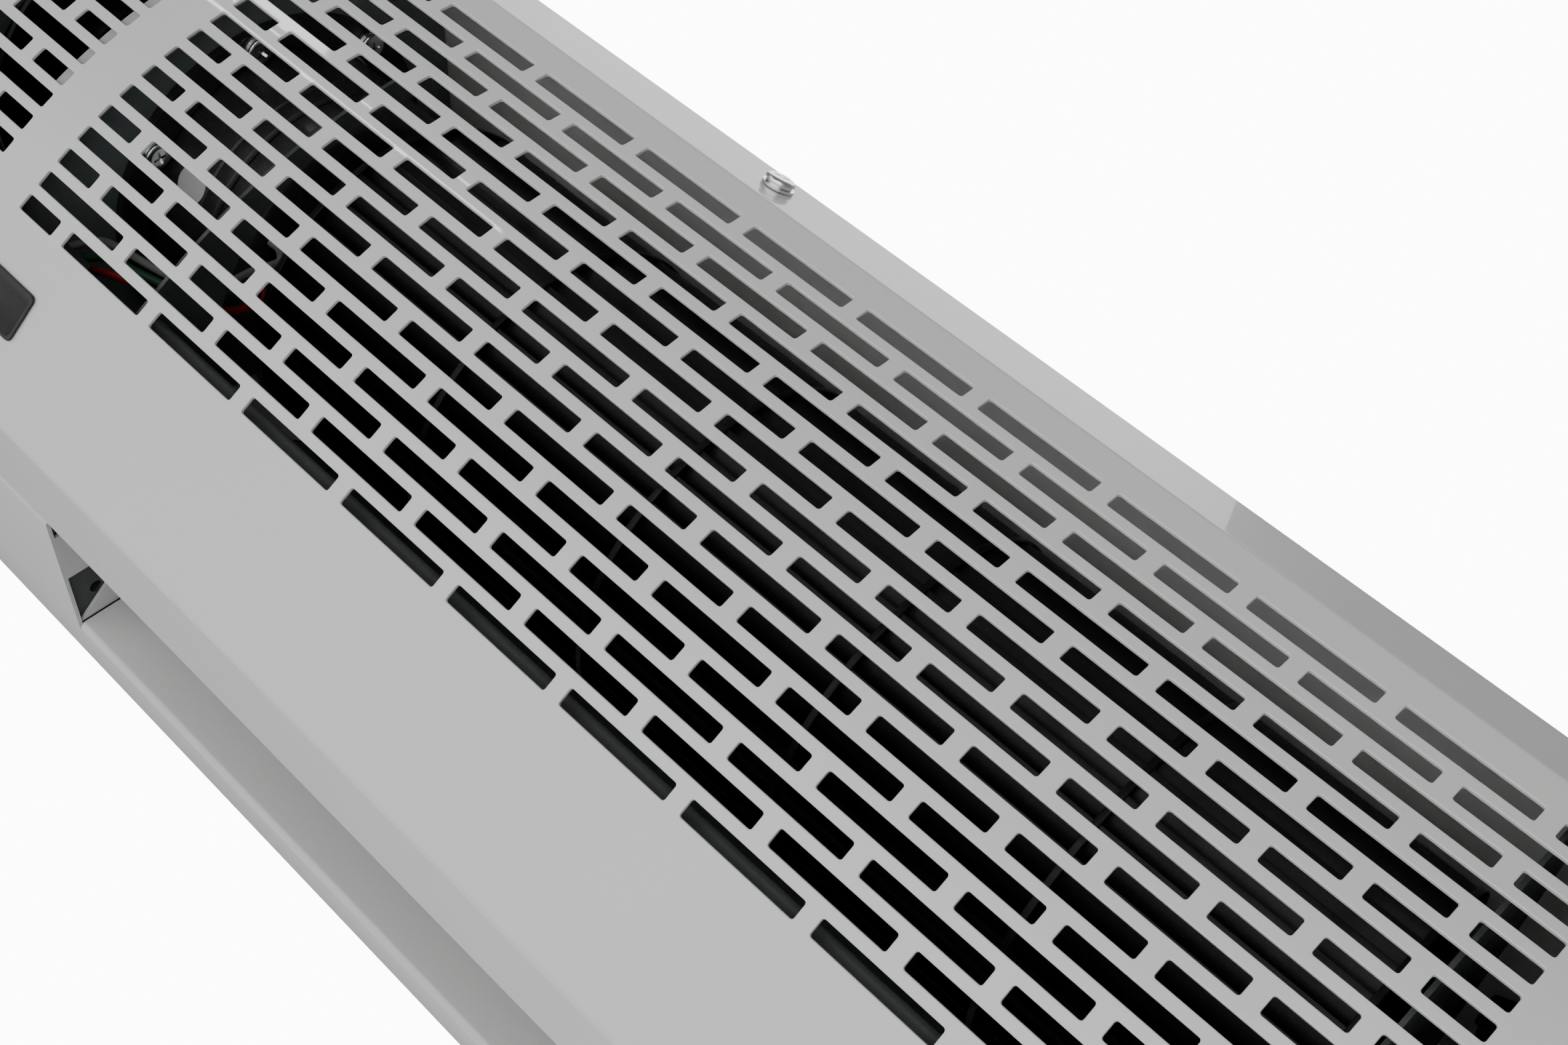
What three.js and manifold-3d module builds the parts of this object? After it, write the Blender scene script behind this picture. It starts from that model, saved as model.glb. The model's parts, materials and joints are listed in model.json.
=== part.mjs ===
// Air curtain, 900 mm: a wall-hung cross-flow fan in a folded sheet-steel case with a perforated front cover.
// Millimetres, +Z up. Seen from the front, +X is to the right and the front looks along -Y.
// The section is drawn in (y, z): y runs back from the cover's upright front face, z up from the underside.
import * as THREE from "three";
import { mergeVertices } from "three/addons/utils/BufferGeometryUtils.js";
import Module from "manifold-3d";

const wasm = await Module();
wasm.setup();

// ---------------------------------------------------------------- driving dimensions
const LENGTH = 900; // over the end panels
const DEPTH = 150; // of the case, without the wall plate
const SHEET = 1.2; // steel sheet of the case, the cover and the inner plates
const GAP = 0.3; // clearance between touching pieces
const END_PANEL = 2; // thickness of an end panel

const TOP_FOLD_HEIGHT = 168; // where the cover's upright front turns into its sloped top flange
const TOP_RISE = 24; // of the case's top above that fold
const HEIGHT = TOP_FOLD_HEIGHT + TOP_RISE; // of the case
const TOP_FLANGE_TILT = 34; // degrees from upright
const TOP_FLANGE = 28; // width of the sloped flange
const LOWER_TILT = 31.5; // degrees from upright of the plain lower front
const BOTTOM_FLANGE = 30; // width of the cover's return flange underneath

const SLOT_LENGTH = 35;
const SLOT_HEIGHT = 4.9;
const SLOT_BAR = 5; // sheet left between two slots of a row
const HALF_SLOT = 15; // the short slot that ends every row
const GRILLE_MARGIN = 26; // least plain sheet outside a grille
const ROW_PITCH = 8.12;
const FIRST_ROW_DROP = 11.4; // centre of the top row below the top fold
const UPRIGHT_ROWS = 3;
const CURVED_ROWS = 11;
const LOWER_ROWS = 2;
const CENTRE_BAND = 17; // plain sheet between the two grilles
const GRILLE_ROOM = LENGTH / 2 - GRILLE_MARGIN - CENTRE_BAND / 2 - HALF_SLOT;
const SLOTS_PER_ROW = Math.floor(GRILLE_ROOM / (SLOT_LENGTH + SLOT_BAR)); // full slots

const OUTLET_START = 61; // from the middle of the unit
const END_ROOM = 41; // between an outlet and the outside of its end panel
const OUTLET_END = LENGTH / 2 - END_ROOM;
const BACK_LEDGE = 16.6; // between the outlet and the back
const OUTLET_BACK = DEPTH - BACK_LEDGE;
const OUTLET_LIP = 16; // height of the turned-up lip behind the outlet, and of the tab at its inner end
const PAN_LAP = 12; // how far the pan laps over the cover's bottom flange

const AXIS_TO_BACK = 78;
const AXIS_DEPTH = DEPTH - AXIS_TO_BACK; // fan axis behind the front face
const AXIS_DROP = 47; // fan axis below the top fold
const AXIS_HEIGHT = TOP_FOLD_HEIGHT - AXIS_DROP;
const WHEEL_RADIUS = 52;
const WHEEL_START = 65; // inner end of a wheel from the middle of the unit
const WHEEL_END_GAP = 6; // between a wheel and the outer end plate
const WHEEL_SEGMENTS = 5;
const RING_THICKNESS = 2;
const BLADES = 16;
const BLADE_DEPTH = 11; // from the rim inwards
const BLADE_THICKNESS = 1.7;
const BLADE_SWEEP = 17; // degrees that the inner edge lies ahead of the outer edge
const BLADE_CAMBER = 2.6;

const PLATE_INSET = 5.2; // front edge of the inner plates behind the cover's outer face
const MOUTH_CLEARANCE = 8; // round the inner end of a wheel
const BULKHEAD = 2; // thickness of the motor's plate
const TONGUE_GAP = 8; // between the wheel and the tongue's tip
const TONGUE_HEIGHT = AXIS_HEIGHT - WHEEL_RADIUS - TONGUE_GAP; // top of the tongue's tip
const TONGUE_RIM_HEIGHT = 46;
const TONGUE_INSET = 9.5; // front wall of the tongue plate behind the cover's outer face
const GUIDE_NEAR = 4; // gap between wheel and rear guide at its leading edge
const GUIDE_START_ANGLE = 38; // degrees from upright

const SHAFT_RADIUS = 5;
const SHAFT_REACH = 80; // half length of the motor shaft
const STUB_RADIUS = 4;
const RUNNING_CLEARANCE = 0.3;
const MOTOR_RADIUS = 44;
const MOTOR_BARREL = 60; // length of the barrel between the end shields
const MOTOR_FLANGE = 3; // thickness of its mounting ring
const FLANGE_SCREW_CIRCLE = MOTOR_RADIUS + 5.5;
const MOTOR_FLANGE_RADIUS = FLANGE_SCREW_CIRCLE + 4.7;
const FLANGE_SCREW_ANGLES = [-50, 0, 50, 130, 180, 230]; // from straight ahead, up is positive

const WALL_PLATE = 2;
const WALL_PLATE_INSET = 14; // its end from the outside of the unit's end panel
const WALL_PLATE_HALF = LENGTH / 2 - WALL_PLATE_INSET;
const WALL_PLATE_HEIGHT = 92;
const MOUNT_HEIGHT = 96; // middle of the wall plate above the underside
const HOOK_END = 136; // of an outer hook from the wall plate's end
const HOOK_MIDDLE = 120; // of an inner hook from the middle of the unit
const HOOK_PLACES = [HOOK_END - WALL_PLATE_HALF, -HOOK_MIDDLE, HOOK_MIDDLE, WALL_PLATE_HALF - HOOK_END];
const HOOK_WIDTH = 24;
const HOOK_RISE = 8.5;
const HOOK_TOP = MOUNT_HEIGHT + 37.5;
const WALL_SLOT_END = 36; // of an outer wall slot from the wall plate's end
const WALL_SLOT_MIDDLE = 200; // of an inner wall slot from the middle of the unit

const SCREW_SHANK = 1.8;
const SCREW_HOLE = 2.2;
const SCREW_HEAD = 4.6;
const SCREW_HEAD_HEIGHT = 3;
const COVER_SCREW_INNER = 156; // from the middle of the unit
const COVER_SCREW_OUTER = LENGTH / 2 - 16;
const COVER_SCREW_PLACES = [-COVER_SCREW_OUTER, -COVER_SCREW_INNER, COVER_SCREW_INNER, COVER_SCREW_OUTER];
const COVER_SCREW_UP = 14.5; // along the flange from the fold

// ---------------------------------------------------------------- materials
const finish = (color, roughness, metalness) => new THREE.MeshStandardMaterial({ color, roughness, metalness });
const whitePaint = finish(0xdfdfdc, 0.35, 0.1);
const greyPaint = finish(0x4a5150, 0.5, 0.3);
const blackPlastic = finish(0x1b1b1c, 0.55, 0);
const blackPaint = finish(0x161718, 0.4, 0.3);
const chrome = finish(0xc9ccd0, 0.15, 1);
const zinc = finish(0xa9adb0, 0.4, 0.9);
const steel = finish(0x9a9da0, 0.3, 1);
const bronze = finish(0x8d6a3a, 0.4, 1);
const rubber = finish(0x202021, 0.9, 0);
const darkInsulator = finish(0x3a3b3c, 0.6, 0);
const redLead = finish(0xb01c1c, 0.5, 0);
const whiteLead = finish(0xdcdcd8, 0.5, 0);
const greenLead = finish(0x1f6b3a, 0.5, 0);

// ---------------------------------------------------------------- solids
const radians = THREE.MathUtils.degToRad;

// A closed three.js geometry as a manifold solid: shared vertices merged and collapsed faces left out.
function solidOf(geometry) {
  const bare = geometry.index ? geometry.toNonIndexed() : geometry.clone();
  for (const name of Object.keys(bare.attributes)) if (name !== "position") bare.deleteAttribute(name);
  const merged = mergeVertices(bare, 1e-4);
  const index = merged.index.array;
  const faces = [];
  for (let i = 0; i < index.length; i += 3) {
    const [a, b, c] = [index[i], index[i + 1], index[i + 2]];
    if (a !== b && b !== c && c !== a) faces.push(a, b, c);
  }
  const vertProperties = merged.attributes.position.array;
  return new wasm.Manifold(new wasm.Mesh({ numProp: 3, vertProperties, triVerts: new Uint32Array(faces) }));
}

function geometryOf(solid) {
  const { vertProperties, triVerts } = solid.getMesh();
  const geometry = new THREE.BufferGeometry();
  geometry.setAttribute("position", new THREE.BufferAttribute(vertProperties, 3));
  geometry.setIndex(new THREE.BufferAttribute(triVerts, 1));
  geometry.computeVertexNormals();
  return geometry;
}

const joined = (solids) => solids.reduce((sum, solid) => sum.add(solid));
const cutBy = (solid, cutters) => cutters.reduce((rest, cutter) => rest.subtract(cutter), solid);

// An outline pushed along an axis. Along x it is drawn in (y, z), along y in (z, x), along z in (x, y).
const PUSH = {
  x: new THREE.Matrix4().set(0, 0, 1, 0, 1, 0, 0, 0, 0, 1, 0, 0, 0, 0, 0, 1),
  y: new THREE.Matrix4().set(0, 1, 0, 0, 0, 0, 1, 0, 1, 0, 0, 0, 0, 0, 0, 1),
  z: new THREE.Matrix4(),
};

function prism(axis, outline, from, to, holes = [], frame = PUSH[axis]) {
  const points = (loop) => loop.map(([u, v]) => new THREE.Vector2(u, v));
  const shape = new THREE.Shape(points(outline));
  shape.holes = holes.map((loop) => new THREE.Path(points(loop)));
  const geometry = new THREE.ExtrudeGeometry(shape, { depth: to - from, bevelEnabled: false });
  return solidOf(geometry.translate(0, 0, from).applyMatrix4(frame));
}

function box([x0, x1], [y0, y1], [z0, z1]) {
  const geometry = new THREE.BoxGeometry(x1 - x0, y1 - y0, z1 - z0);
  return solidOf(geometry.translate((x0 + x1) / 2, (y0 + y1) / 2, (z0 + z1) / 2));
}

function circle([u, v], radius, sides) {
  const loop = [];
  for (let i = 0; i < sides; i++) {
    const angle = (2 * Math.PI * (i + 0.5)) / sides;
    loop.push([u + radius * Math.cos(angle), v + radius * Math.sin(angle)]);
  }
  return loop;
}

// A hole's outline whose flats keep clear of a round piece of that radius.
const bore = (centre, radius, sides) => circle(centre, radius / Math.cos(Math.PI / sides), sides);

// A turned piece on the x axis: profile points [x, radius], from low x to high x along its outside.
function turned(profile, sides) {
  const points = profile.map(([x, radius]) => new THREE.Vector2(radius, x));
  return solidOf(new THREE.LatheGeometry(points, sides).rotateZ(-Math.PI / 2));
}

// A turned ring round a bore, its outside profile [x, radius] given from low x to high x.
function turnedRing(profile, boreRadius, sides) {
  const [low, high] = [profile[0][0], profile.at(-1)[0]];
  return turned([[low, boreRadius], ...profile, [high, boreRadius], [low, boreRadius]], sides);
}

// ---------------------------------------------------------------- folded sheet
const outwardOf = ([y0, z0], [y1, z1]) => {
  const length = Math.hypot(y1 - y0, z1 - z0);
  return [-(z1 - z0) / length, (y1 - y0) / length];
};

// The path at a distance inside its outer face, mitred at the folds.
function offsetPath(path, distance) {
  return path.map(([y, z], i) => {
    const before = i > 0 ? outwardOf(path[i - 1], path[i]) : outwardOf(path[0], path[1]);
    const after = i < path.length - 1 ? outwardOf(path[i], path[i + 1]) : before;
    const share = distance / (1 + before[0] * after[0] + before[1] * after[1]);
    return [y - share * (before[0] + after[0]), z - share * (before[1] + after[1])];
  });
}

// A sheet folded along x. The path is its outer face; holesOn(panel) gives that panel's holes as loops of
// [x, distance up the panel].
function foldedSheet(path, thickness, x0, x1, holesOn = () => []) {
  const sheet = prism("x", [...path, ...offsetPath(path, thickness).reverse()], x0, x1);
  const punches = [];
  for (let panel = 0; panel < path.length - 1; panel++) {
    const [start, end] = [path[panel], path[panel + 1]];
    const outward = outwardOf(start, end);
    const upPanel = new THREE.Vector3(0, outward[1], -outward[0]);
    const frame = new THREE.Matrix4()
      .makeBasis(new THREE.Vector3(1, 0, 0), upPanel, new THREE.Vector3(0, ...outward))
      .setPosition(0, ...start);
    for (const loop of holesOn(panel)) punches.push(prism("z", loop, -thickness - 1, 1, [], frame));
  }
  return punches.length ? sheet.subtract(wasm.Manifold.union(punches)) : sheet;
}

// ---------------------------------------------------------------- section of the cover and the case
const upFlange = [Math.sin(radians(TOP_FLANGE_TILT)), Math.cos(radians(TOP_FLANGE_TILT))];

// The cover's outer face, from the rear edge of its bottom flange round the front to the top flange.
function coverPath() {
  const uprightLength = FIRST_ROW_DROP + (UPRIGHT_ROWS - 0.5) * ROW_PITCH;
  const front = [[0, TOP_FOLD_HEIGHT], [0, TOP_FOLD_HEIGHT - uprightLength]];
  for (let row = 0; row < CURVED_ROWS; row++) {
    const tilt = radians((LOWER_TILT * (row + 0.5)) / CURVED_ROWS);
    const [y, z] = front.at(-1);
    front.push([y + ROW_PITCH * Math.sin(tilt), z - ROW_PITCH * Math.cos(tilt)]);
  }
  const [y, z] = front.at(-1);
  front.push([y + z * Math.tan(radians(LOWER_TILT)), 0]);
  return [
    [front.at(-1)[0] + BOTTOM_FLANGE, 0],
    ...front.reverse(),
    [TOP_FLANGE * upFlange[0], TOP_FOLD_HEIGHT + TOP_FLANGE * upFlange[1]],
  ];
}
const cover = coverPath();
const [coverRear, lowFold] = cover;
const coverBack = coverRear[0]; // rear edge of the bottom flange
const lowerPanel = cover.indexOf(lowFold); // panels of the cover's path, counted from the bottom flange
const uprightPanel = lowerPanel + CURVED_ROWS + 1;
const flangePanel = uprightPanel + 1;

// A point on the line that runs parallel to the top flange, a distance inside it, at a height.
function insideFlange(distance, height) {
  const [foldY, foldZ] = [distance * upFlange[1], TOP_FOLD_HEIGHT - distance * upFlange[0]];
  return [foldY + ((height - foldZ) * upFlange[0]) / upFlange[1], height];
}

// The case's outer face, from the flange under the cover's top flange over the back to the lap at the front.
const caseFlangeTop = insideFlange(SHEET + GAP, HEIGHT);
const CASE_FLANGE = 20;
const casePath = [
  [caseFlangeTop[0] - CASE_FLANGE * upFlange[0], HEIGHT - CASE_FLANGE * upFlange[1]],
  caseFlangeTop,
  [DEPTH, HEIGHT],
  [DEPTH, 0],
  [coverBack + 1 + SHEET + GAP, 0],
  [coverBack + 1, SHEET + GAP],
  [coverBack - PAN_LAP, SHEET + GAP],
];

// The outline shared by the plates that stand across the case.
function plateOutline() {
  const front = offsetPath(cover, PLATE_INSET).slice(1, -1);
  const seat = SHEET + GAP;
  return [
    ...front,
    insideFlange(PLATE_INSET, HEIGHT - seat),
    [DEPTH - seat, HEIGHT - seat],
    [DEPTH - seat, seat],
    [casePath[4][0] + SHEET, seat],
    [casePath[4][0] + SHEET, PLATE_INSET],
  ];
}
const acrossCase = plateOutline();
const fanAxis = [AXIS_DEPTH, AXIS_HEIGHT];

// ---------------------------------------------------------------- scene graph
const unit = new THREE.Group();
unit.name = "air_curtain";
// The section's frame, moved so that the origin is the middle of the wall face.
const section = new THREE.Group();
section.position.set(0, -(DEPTH + GAP + WALL_PLATE), -MOUNT_HEIGHT);
unit.add(section);
const fanLine = new THREE.Group(); // the frame of the turned pieces: x is the fan axis
fanLine.position.set(0, AXIS_DEPTH, AXIS_HEIGHT);
section.add(fanLine);

function place(name, solid, material, parent = section) {
  const mesh = new THREE.Mesh(geometryOf(solid), material);
  mesh.name = name;
  parent.add(mesh);
  return mesh;
}

const SIDES = [
  { side: "left", sign: -1 },
  { side: "right", sign: 1 },
];
// A span given outwards from the middle of the unit, as low and high x on one side.
const span = (sign, near, far) => (sign > 0 ? [near, far] : [-far, -near]);

// The tab at an outlet's inner end, with the inner end plate just behind it.
const outletTab = (sign) => span(sign, OUTLET_START - SHEET, OUTLET_START);
const innerEndPlateSpan = (sign) => span(sign, OUTLET_START - 2 * SHEET - GAP, OUTLET_START - SHEET - GAP);

// The room between the inner and the outer end plate of one side.
const chamber = (sign) => span(sign, OUTLET_START + GAP, OUTLET_END - GAP);

// ---------------------------------------------------------------- cover
// The slots of one row in both grilles, as [start, end] along x. Even rows start with a full slot at the band.
function slotSpans(row) {
  const pitch = SLOT_LENGTH + SLOT_BAR;
  const even = row % 2 === 0;
  const first = CENTRE_BAND / 2 + (even ? 0 : HALF_SLOT + SLOT_BAR);
  const spans = [];
  for (let i = 0; i < SLOTS_PER_ROW; i++) spans.push([first + i * pitch, first + i * pitch + SLOT_LENGTH]);
  const half = CENTRE_BAND / 2 + (even ? SLOTS_PER_ROW * pitch : 0);
  spans.push([half, half + HALF_SLOT]);
  return [...spans, ...spans.map(([a, b]) => [-b, -a])];
}

const slotLoops = (row, up) =>
  slotSpans(row).map(([a, b]) => [
    [a, up - SLOT_HEIGHT / 2],
    [a, up + SLOT_HEIGHT / 2],
    [b, up + SLOT_HEIGHT / 2],
    [b, up - SLOT_HEIGHT / 2],
  ]);

const screwHole = (x, up) => circle([x, up], SCREW_HOLE, 8);

const lowerTop = cover[lowerPanel + 1];
const lowerLength = Math.hypot(lowerTop[0] - lowFold[0], lowerTop[1] - lowFold[1]);

function coverHoles(panel) {
  if (panel === flangePanel) return COVER_SCREW_PLACES.map((x) => screwHole(x, COVER_SCREW_UP));
  if (panel === uprightPanel)
    return Array.from({ length: UPRIGHT_ROWS }, (_, i) =>
      slotLoops(UPRIGHT_ROWS - 1 - i, (i + 0.5) * ROW_PITCH),
    ).flat();
  if (panel === lowerPanel) {
    return Array.from({ length: LOWER_ROWS }, (_, i) =>
      slotLoops(UPRIGHT_ROWS + CURVED_ROWS + i, lowerLength - (i + 0.5) * ROW_PITCH),
    ).flat();
  }
  if (panel > lowerPanel) return slotLoops(UPRIGHT_ROWS + (uprightPanel - 1 - panel), ROW_PITCH / 2);
  return [];
}

const coverEnd = LENGTH / 2 - END_PANEL - GAP;
place("front_cover", foldedSheet(cover, SHEET, -coverEnd, coverEnd, coverHoles), whitePaint);

// Strip behind the plain band, off centre, down to below the curved rows' end.
const STRIP = { thickness: 1.6, left: -13, right: 7, lowestPanel: 4 };
const stripPath = offsetPath(cover, SHEET + GAP).slice(STRIP.lowestPanel, uprightPanel + 1);
stripPath.push([stripPath.at(-1)[0], TOP_FOLD_HEIGHT - FIRST_ROW_DROP / 2]);
place("band_stiffener", foldedSheet(stripPath, STRIP.thickness, STRIP.left, STRIP.right), whitePaint);

// Bare name plate on the plain lower front, a slanted bar.
const BADGE = { width: 73.2, height: 13.7, slant: 2.3, thickness: 0.8, drop: 19.8 };
function badge() {
  const tilt = radians(LOWER_TILT);
  const middle = lowerLength - LOWER_ROWS * ROW_PITCH - BADGE.drop;
  const [w, h] = [BADGE.width / 2, BADGE.height / 2];
  const outline = [[BADGE.slant - w, -h], [w, -h], [w - BADGE.slant, h], [-w, h]];
  const plate = prism("z", outline, 0, BADGE.thickness);
  const mesh = place("badge_plate", plate, blackPlastic);
  mesh.rotation.x = Math.PI / 2 + tilt;
  const [outY, outZ] = [-Math.cos(tilt), -Math.sin(tilt)];
  mesh.position.set(
    0,
    lowFold[0] - middle * Math.sin(tilt) + outY * GAP,
    lowFold[1] + middle * Math.cos(tilt) + outZ * GAP,
  );
}
badge();

// ---------------------------------------------------------------- rear case
const EAR = { from: DEPTH - 40, width: 16, height: 17, inset: 0.6 };
const earScrewHeights = [EAR.height - 7, HEIGHT - EAR.height + 7];
const gland = { x: OUTLET_END + 15, y: DEPTH - 32, radius: 8 };
const CAPACITOR = { length: 36, width: 32, depth: 18, lug: 10, lugThickness: 2.5, from: 2.5, foot: 30 };
const capacitorEnd = -BULKHEAD / 2 - CAPACITOR.from - CAPACITOR.length;
const capacitorScrew = { x: capacitorEnd - CAPACITOR.lug / 2, z: CAPACITOR.foot + CAPACITOR.width / 2 };
const LOCK_SCREW = { x: WALL_PLATE_HALF - 8, z: MOUNT_HEIGHT - 36 };

function rearCase() {
  const holes = (panel) => (panel === 0 ? COVER_SCREW_PLACES.map((x) => screwHole(x, caseScrewUp())) : []);
  const shell = foldedSheet(casePath, SHEET, -coverEnd, coverEnd, holes);
  const ears = SIDES.flatMap(({ sign }) =>
    [[0, EAR.height], [HEIGHT - EAR.height, HEIGHT]].map(([low, high]) => {
      const x = span(sign, coverEnd - SHEET - EAR.inset, coverEnd - EAR.inset);
      return box(x, [EAR.from, EAR.from + EAR.width], [low + SHEET / 2, high - SHEET / 2]);
    }),
  );
  const outlets = SIDES.map(({ sign }) =>
    box(span(sign, OUTLET_START, OUTLET_END), [coverBack - PAN_LAP - 1, OUTLET_BACK], [-1, 5]),
  );
  const turnedUp = SIDES.flatMap(({ sign }) => [
    box(chamber(sign), [OUTLET_BACK, OUTLET_BACK + SHEET], [0, OUTLET_LIP]),
    box(outletTab(sign), [coverBack + 9, OUTLET_BACK - 20.4], [0, OUTLET_LIP]),
  ]);
  const backHole = (x, z, radius) => prism("y", circle([z, x], radius, 8), DEPTH - 5, DEPTH + 1);
  const hookSlots = HOOK_PLACES.map((x) => {
    const half = HOOK_WIDTH / 2 + 1;
    return box([x - half, x + half], [DEPTH - 5, DEPTH + 1], [HOOK_TOP - 10, HOOK_TOP + GAP]);
  });
  const earHoles = SIDES.flatMap(({ sign }) =>
    earScrewHeights.map((z) => {
      const x = span(sign, coverEnd - 4, coverEnd);
      return prism("x", circle([EAR.from + EAR.width / 2, z], SCREW_HOLE, 8), ...x);
    }),
  );
  const drilled = [
    ...outlets,
    ...hookSlots,
    ...earHoles,
    ...SIDES.map(({ sign }) => backHole(sign * LOCK_SCREW.x, LOCK_SCREW.z, SCREW_HOLE)),
    backHole(capacitorScrew.x, capacitorScrew.z, SCREW_HOLE),
    prism("z", bore([gland.x, gland.y], gland.radius + GAP, 12), HEIGHT - 5, HEIGHT + 1),
  ];
  return joined([cutBy(joined([shell, ...ears]), drilled), ...turnedUp]);
}

const caseBack = DEPTH - SHEET - GAP; // where what stands against the case's back from inside ends

// Distance up the case's flange at which it meets the axis of a cover screw.
function caseScrewUp() {
  const [y, z] = casePath[0];
  return COVER_SCREW_UP - (y * upFlange[0] + (z - TOP_FOLD_HEIGHT) * upFlange[1]);
}
place("rear_case", rearCase(), whitePaint);

// ---------------------------------------------------------------- end panels
const switchPlace = { y: DEPTH - 42, z: 46 };
const ROCKER = { halfY: 9, halfZ: 11.5, rise: 4.6, depth: 4, keel: 3.5, pin: 1.2, pinReach: 0.9 };
const ROCKER_TILT = 9; // degrees from the middle to either end of its throw
const [tiltCos, tiltSin] = [Math.cos(radians(ROCKER_TILT)), Math.sin(radians(ROCKER_TILT))];
const POCKET = {
  halfY: ROCKER.halfY + GAP,
  halfZ: ROCKER.halfZ * tiltCos + ROCKER.rise * tiltSin + 2 * GAP,
  floor: ROCKER.depth * tiltCos + ROCKER.keel * tiltSin + GAP,
};
const SWITCH = { wallY: 1.3, wallZ: 0.9, opening: 0.4, bezel: 2.4 };
const housingY = POCKET.halfY + SWITCH.wallY;
const housingZ = POCKET.halfZ + SWITCH.wallZ;
const RIM_DEPTH = 10;

function endPanel(sign) {
  const outline = [...cover.slice(1, -1), insideFlange(0, HEIGHT), [DEPTH, HEIGHT], [DEPTH, 0]];
  const holes = earScrewHeights.map((z) => circle([EAR.from + EAR.width / 2, z], SCREW_HOLE, 8));
  if (sign > 0) {
    const [halfY, halfZ] = [housingY + SWITCH.opening, housingZ + SWITCH.opening];
    const { y, z } = switchPlace;
    holes.push([
      [y - halfY, z - halfZ],
      [y + halfY, z - halfZ],
      [y + halfY, z + halfZ],
      [y - halfY, z + halfZ],
    ]);
  }
  const side = plate(outline, ...span(sign, LENGTH / 2 - END_PANEL, LENGTH / 2), holes);
  const rimPath = offsetPath(cover, 2 * SHEET + 2 * GAP).slice(1, -1);
  const rim = foldedSheet(rimPath, SHEET, ...span(sign, LENGTH / 2 - END_PANEL - RIM_DEPTH, LENGTH / 2 - 1));
  return joined([side, rim]);
}
for (const { side, sign } of SIDES) place(`end_panel_${side}`, endPanel(sign), whitePaint);

// ---------------------------------------------------------------- inner plates
const BEARING_HOLE = 15;
const LOCATING_HOLE = { radius: 2, ahead: 11.4, up: 8 }; // ahead of the outlet's rear edge

// A plate across x with holes, which may break its edge.
function plate(outline, from, to, holes) {
  return cutBy(prism("x", outline, from, to), holes.map((hole) => prism("x", hole, from - 1, to + 1)));
}

function innerEndPlate(sign) {
  const mouth = circle(fanAxis, WHEEL_RADIUS + MOUTH_CLEARANCE, 28);
  const { radius, ahead, up } = LOCATING_HOLE;
  return plate(acrossCase, ...innerEndPlateSpan(sign), [mouth, circle([OUTLET_BACK - ahead, up], radius, 10)]);
}

const outerEndPlate = (sign) =>
  plate(acrossCase, ...span(sign, OUTLET_END, OUTLET_END + SHEET), [bore(fanAxis, BEARING_HOLE, 16)]);

function bulkhead() {
  const bracketHoles = [circle(bracketScrew, SCREW_HOLE, 8)];
  const flangeHoles = flangeScrewPoints().map((point) => circle(point, SCREW_HOLE, 8));
  const opening = bore(fanAxis, MOTOR_RADIUS + GAP, 24);
  return plate(acrossCase, -BULKHEAD / 2, BULKHEAD / 2, [opening, ...flangeHoles, ...bracketHoles]);
}

function flangeScrewPoints() {
  return FLANGE_SCREW_ANGLES.map((angle) => [
    AXIS_DEPTH - FLANGE_SCREW_CIRCLE * Math.cos(radians(angle)),
    AXIS_HEIGHT + FLANGE_SCREW_CIRCLE * Math.sin(radians(angle)),
  ]);
}

// Its front edge stands ahead of the cover's low fold.
const BRACKET = { ahead: 6.4, width: 12, foot: 23, rise: 13, reach: 22, screwUp: 5.5 };
const bracketFrom = lowFold[0] - BRACKET.ahead;
const bracketShelf = BRACKET.foot + BRACKET.rise;
const bracketScrew = [bracketFrom + BRACKET.width / 2, BRACKET.foot + BRACKET.screwUp];
for (const { side, sign } of SIDES) {
  place(`inner_end_plate_${side}`, innerEndPlate(sign), greyPaint);
  place(`outer_end_plate_${side}`, outerEndPlate(sign), greyPaint);
}
place("motor_bulkhead", bulkhead(), greyPaint);

// ---------------------------------------------------------------- air guides
// Trough between the cover and the outlet: tip beside the wheel, outlet wall, floor, front wall and rim.
function tonguePlate(sign) {
  const floor = SHEET + GAP;
  const run = Math.tan(radians(LOWER_TILT));
  const inset = TONGUE_INSET / Math.cos(radians(LOWER_TILT));
  const frontAt = (z) => [lowFold[0] - z * run + inset, z];
  const wallFoot = [coverBack - 1, floor];
  const path = [
    [AXIS_DEPTH + 2, TONGUE_HEIGHT - 0.5],
    [AXIS_DEPTH + 6, TONGUE_HEIGHT - 2],
    [AXIS_DEPTH + 8.5, TONGUE_HEIGHT - 7],
    wallFoot,
    frontAt(floor),
    frontAt(TONGUE_RIM_HEIGHT),
    [frontAt(TONGUE_RIM_HEIGHT)[0] + 5, TONGUE_RIM_HEIGHT + 1.5],
  ];
  return foldedSheet(path, SHEET, ...chamber(sign));
}

// Rear guide: straight behind the outlet, then a spiral that closes in on the wheel.
function rearGuide(sign) {
  const wall = OUTLET_BACK + SHEET + GAP;
  const path = [[wall, SHEET + GAP + 2], [wall, AXIS_HEIGHT]];
  const [near, far] = [WHEEL_RADIUS + GUIDE_NEAR, wall - AXIS_DEPTH];
  const steps = 5;
  for (let i = 1; i <= steps; i++) {
    const angle = radians(90 - ((90 - GUIDE_START_ANGLE) * i) / steps);
    const radius = far + ((near - far) * i) / steps;
    path.push([AXIS_DEPTH + radius * Math.sin(angle), AXIS_HEIGHT + radius * Math.cos(angle)]);
  }
  const [y, z] = path.at(-1);
  path.push([y + 3, z + 9]);
  return foldedSheet(path, SHEET, ...chamber(sign));
}
for (const { side, sign } of SIDES) {
  place(`tongue_plate_${side}`, tonguePlate(sign), greyPaint);
  place(`rear_guide_${side}`, rearGuide(sign), greyPaint);
}

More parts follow.
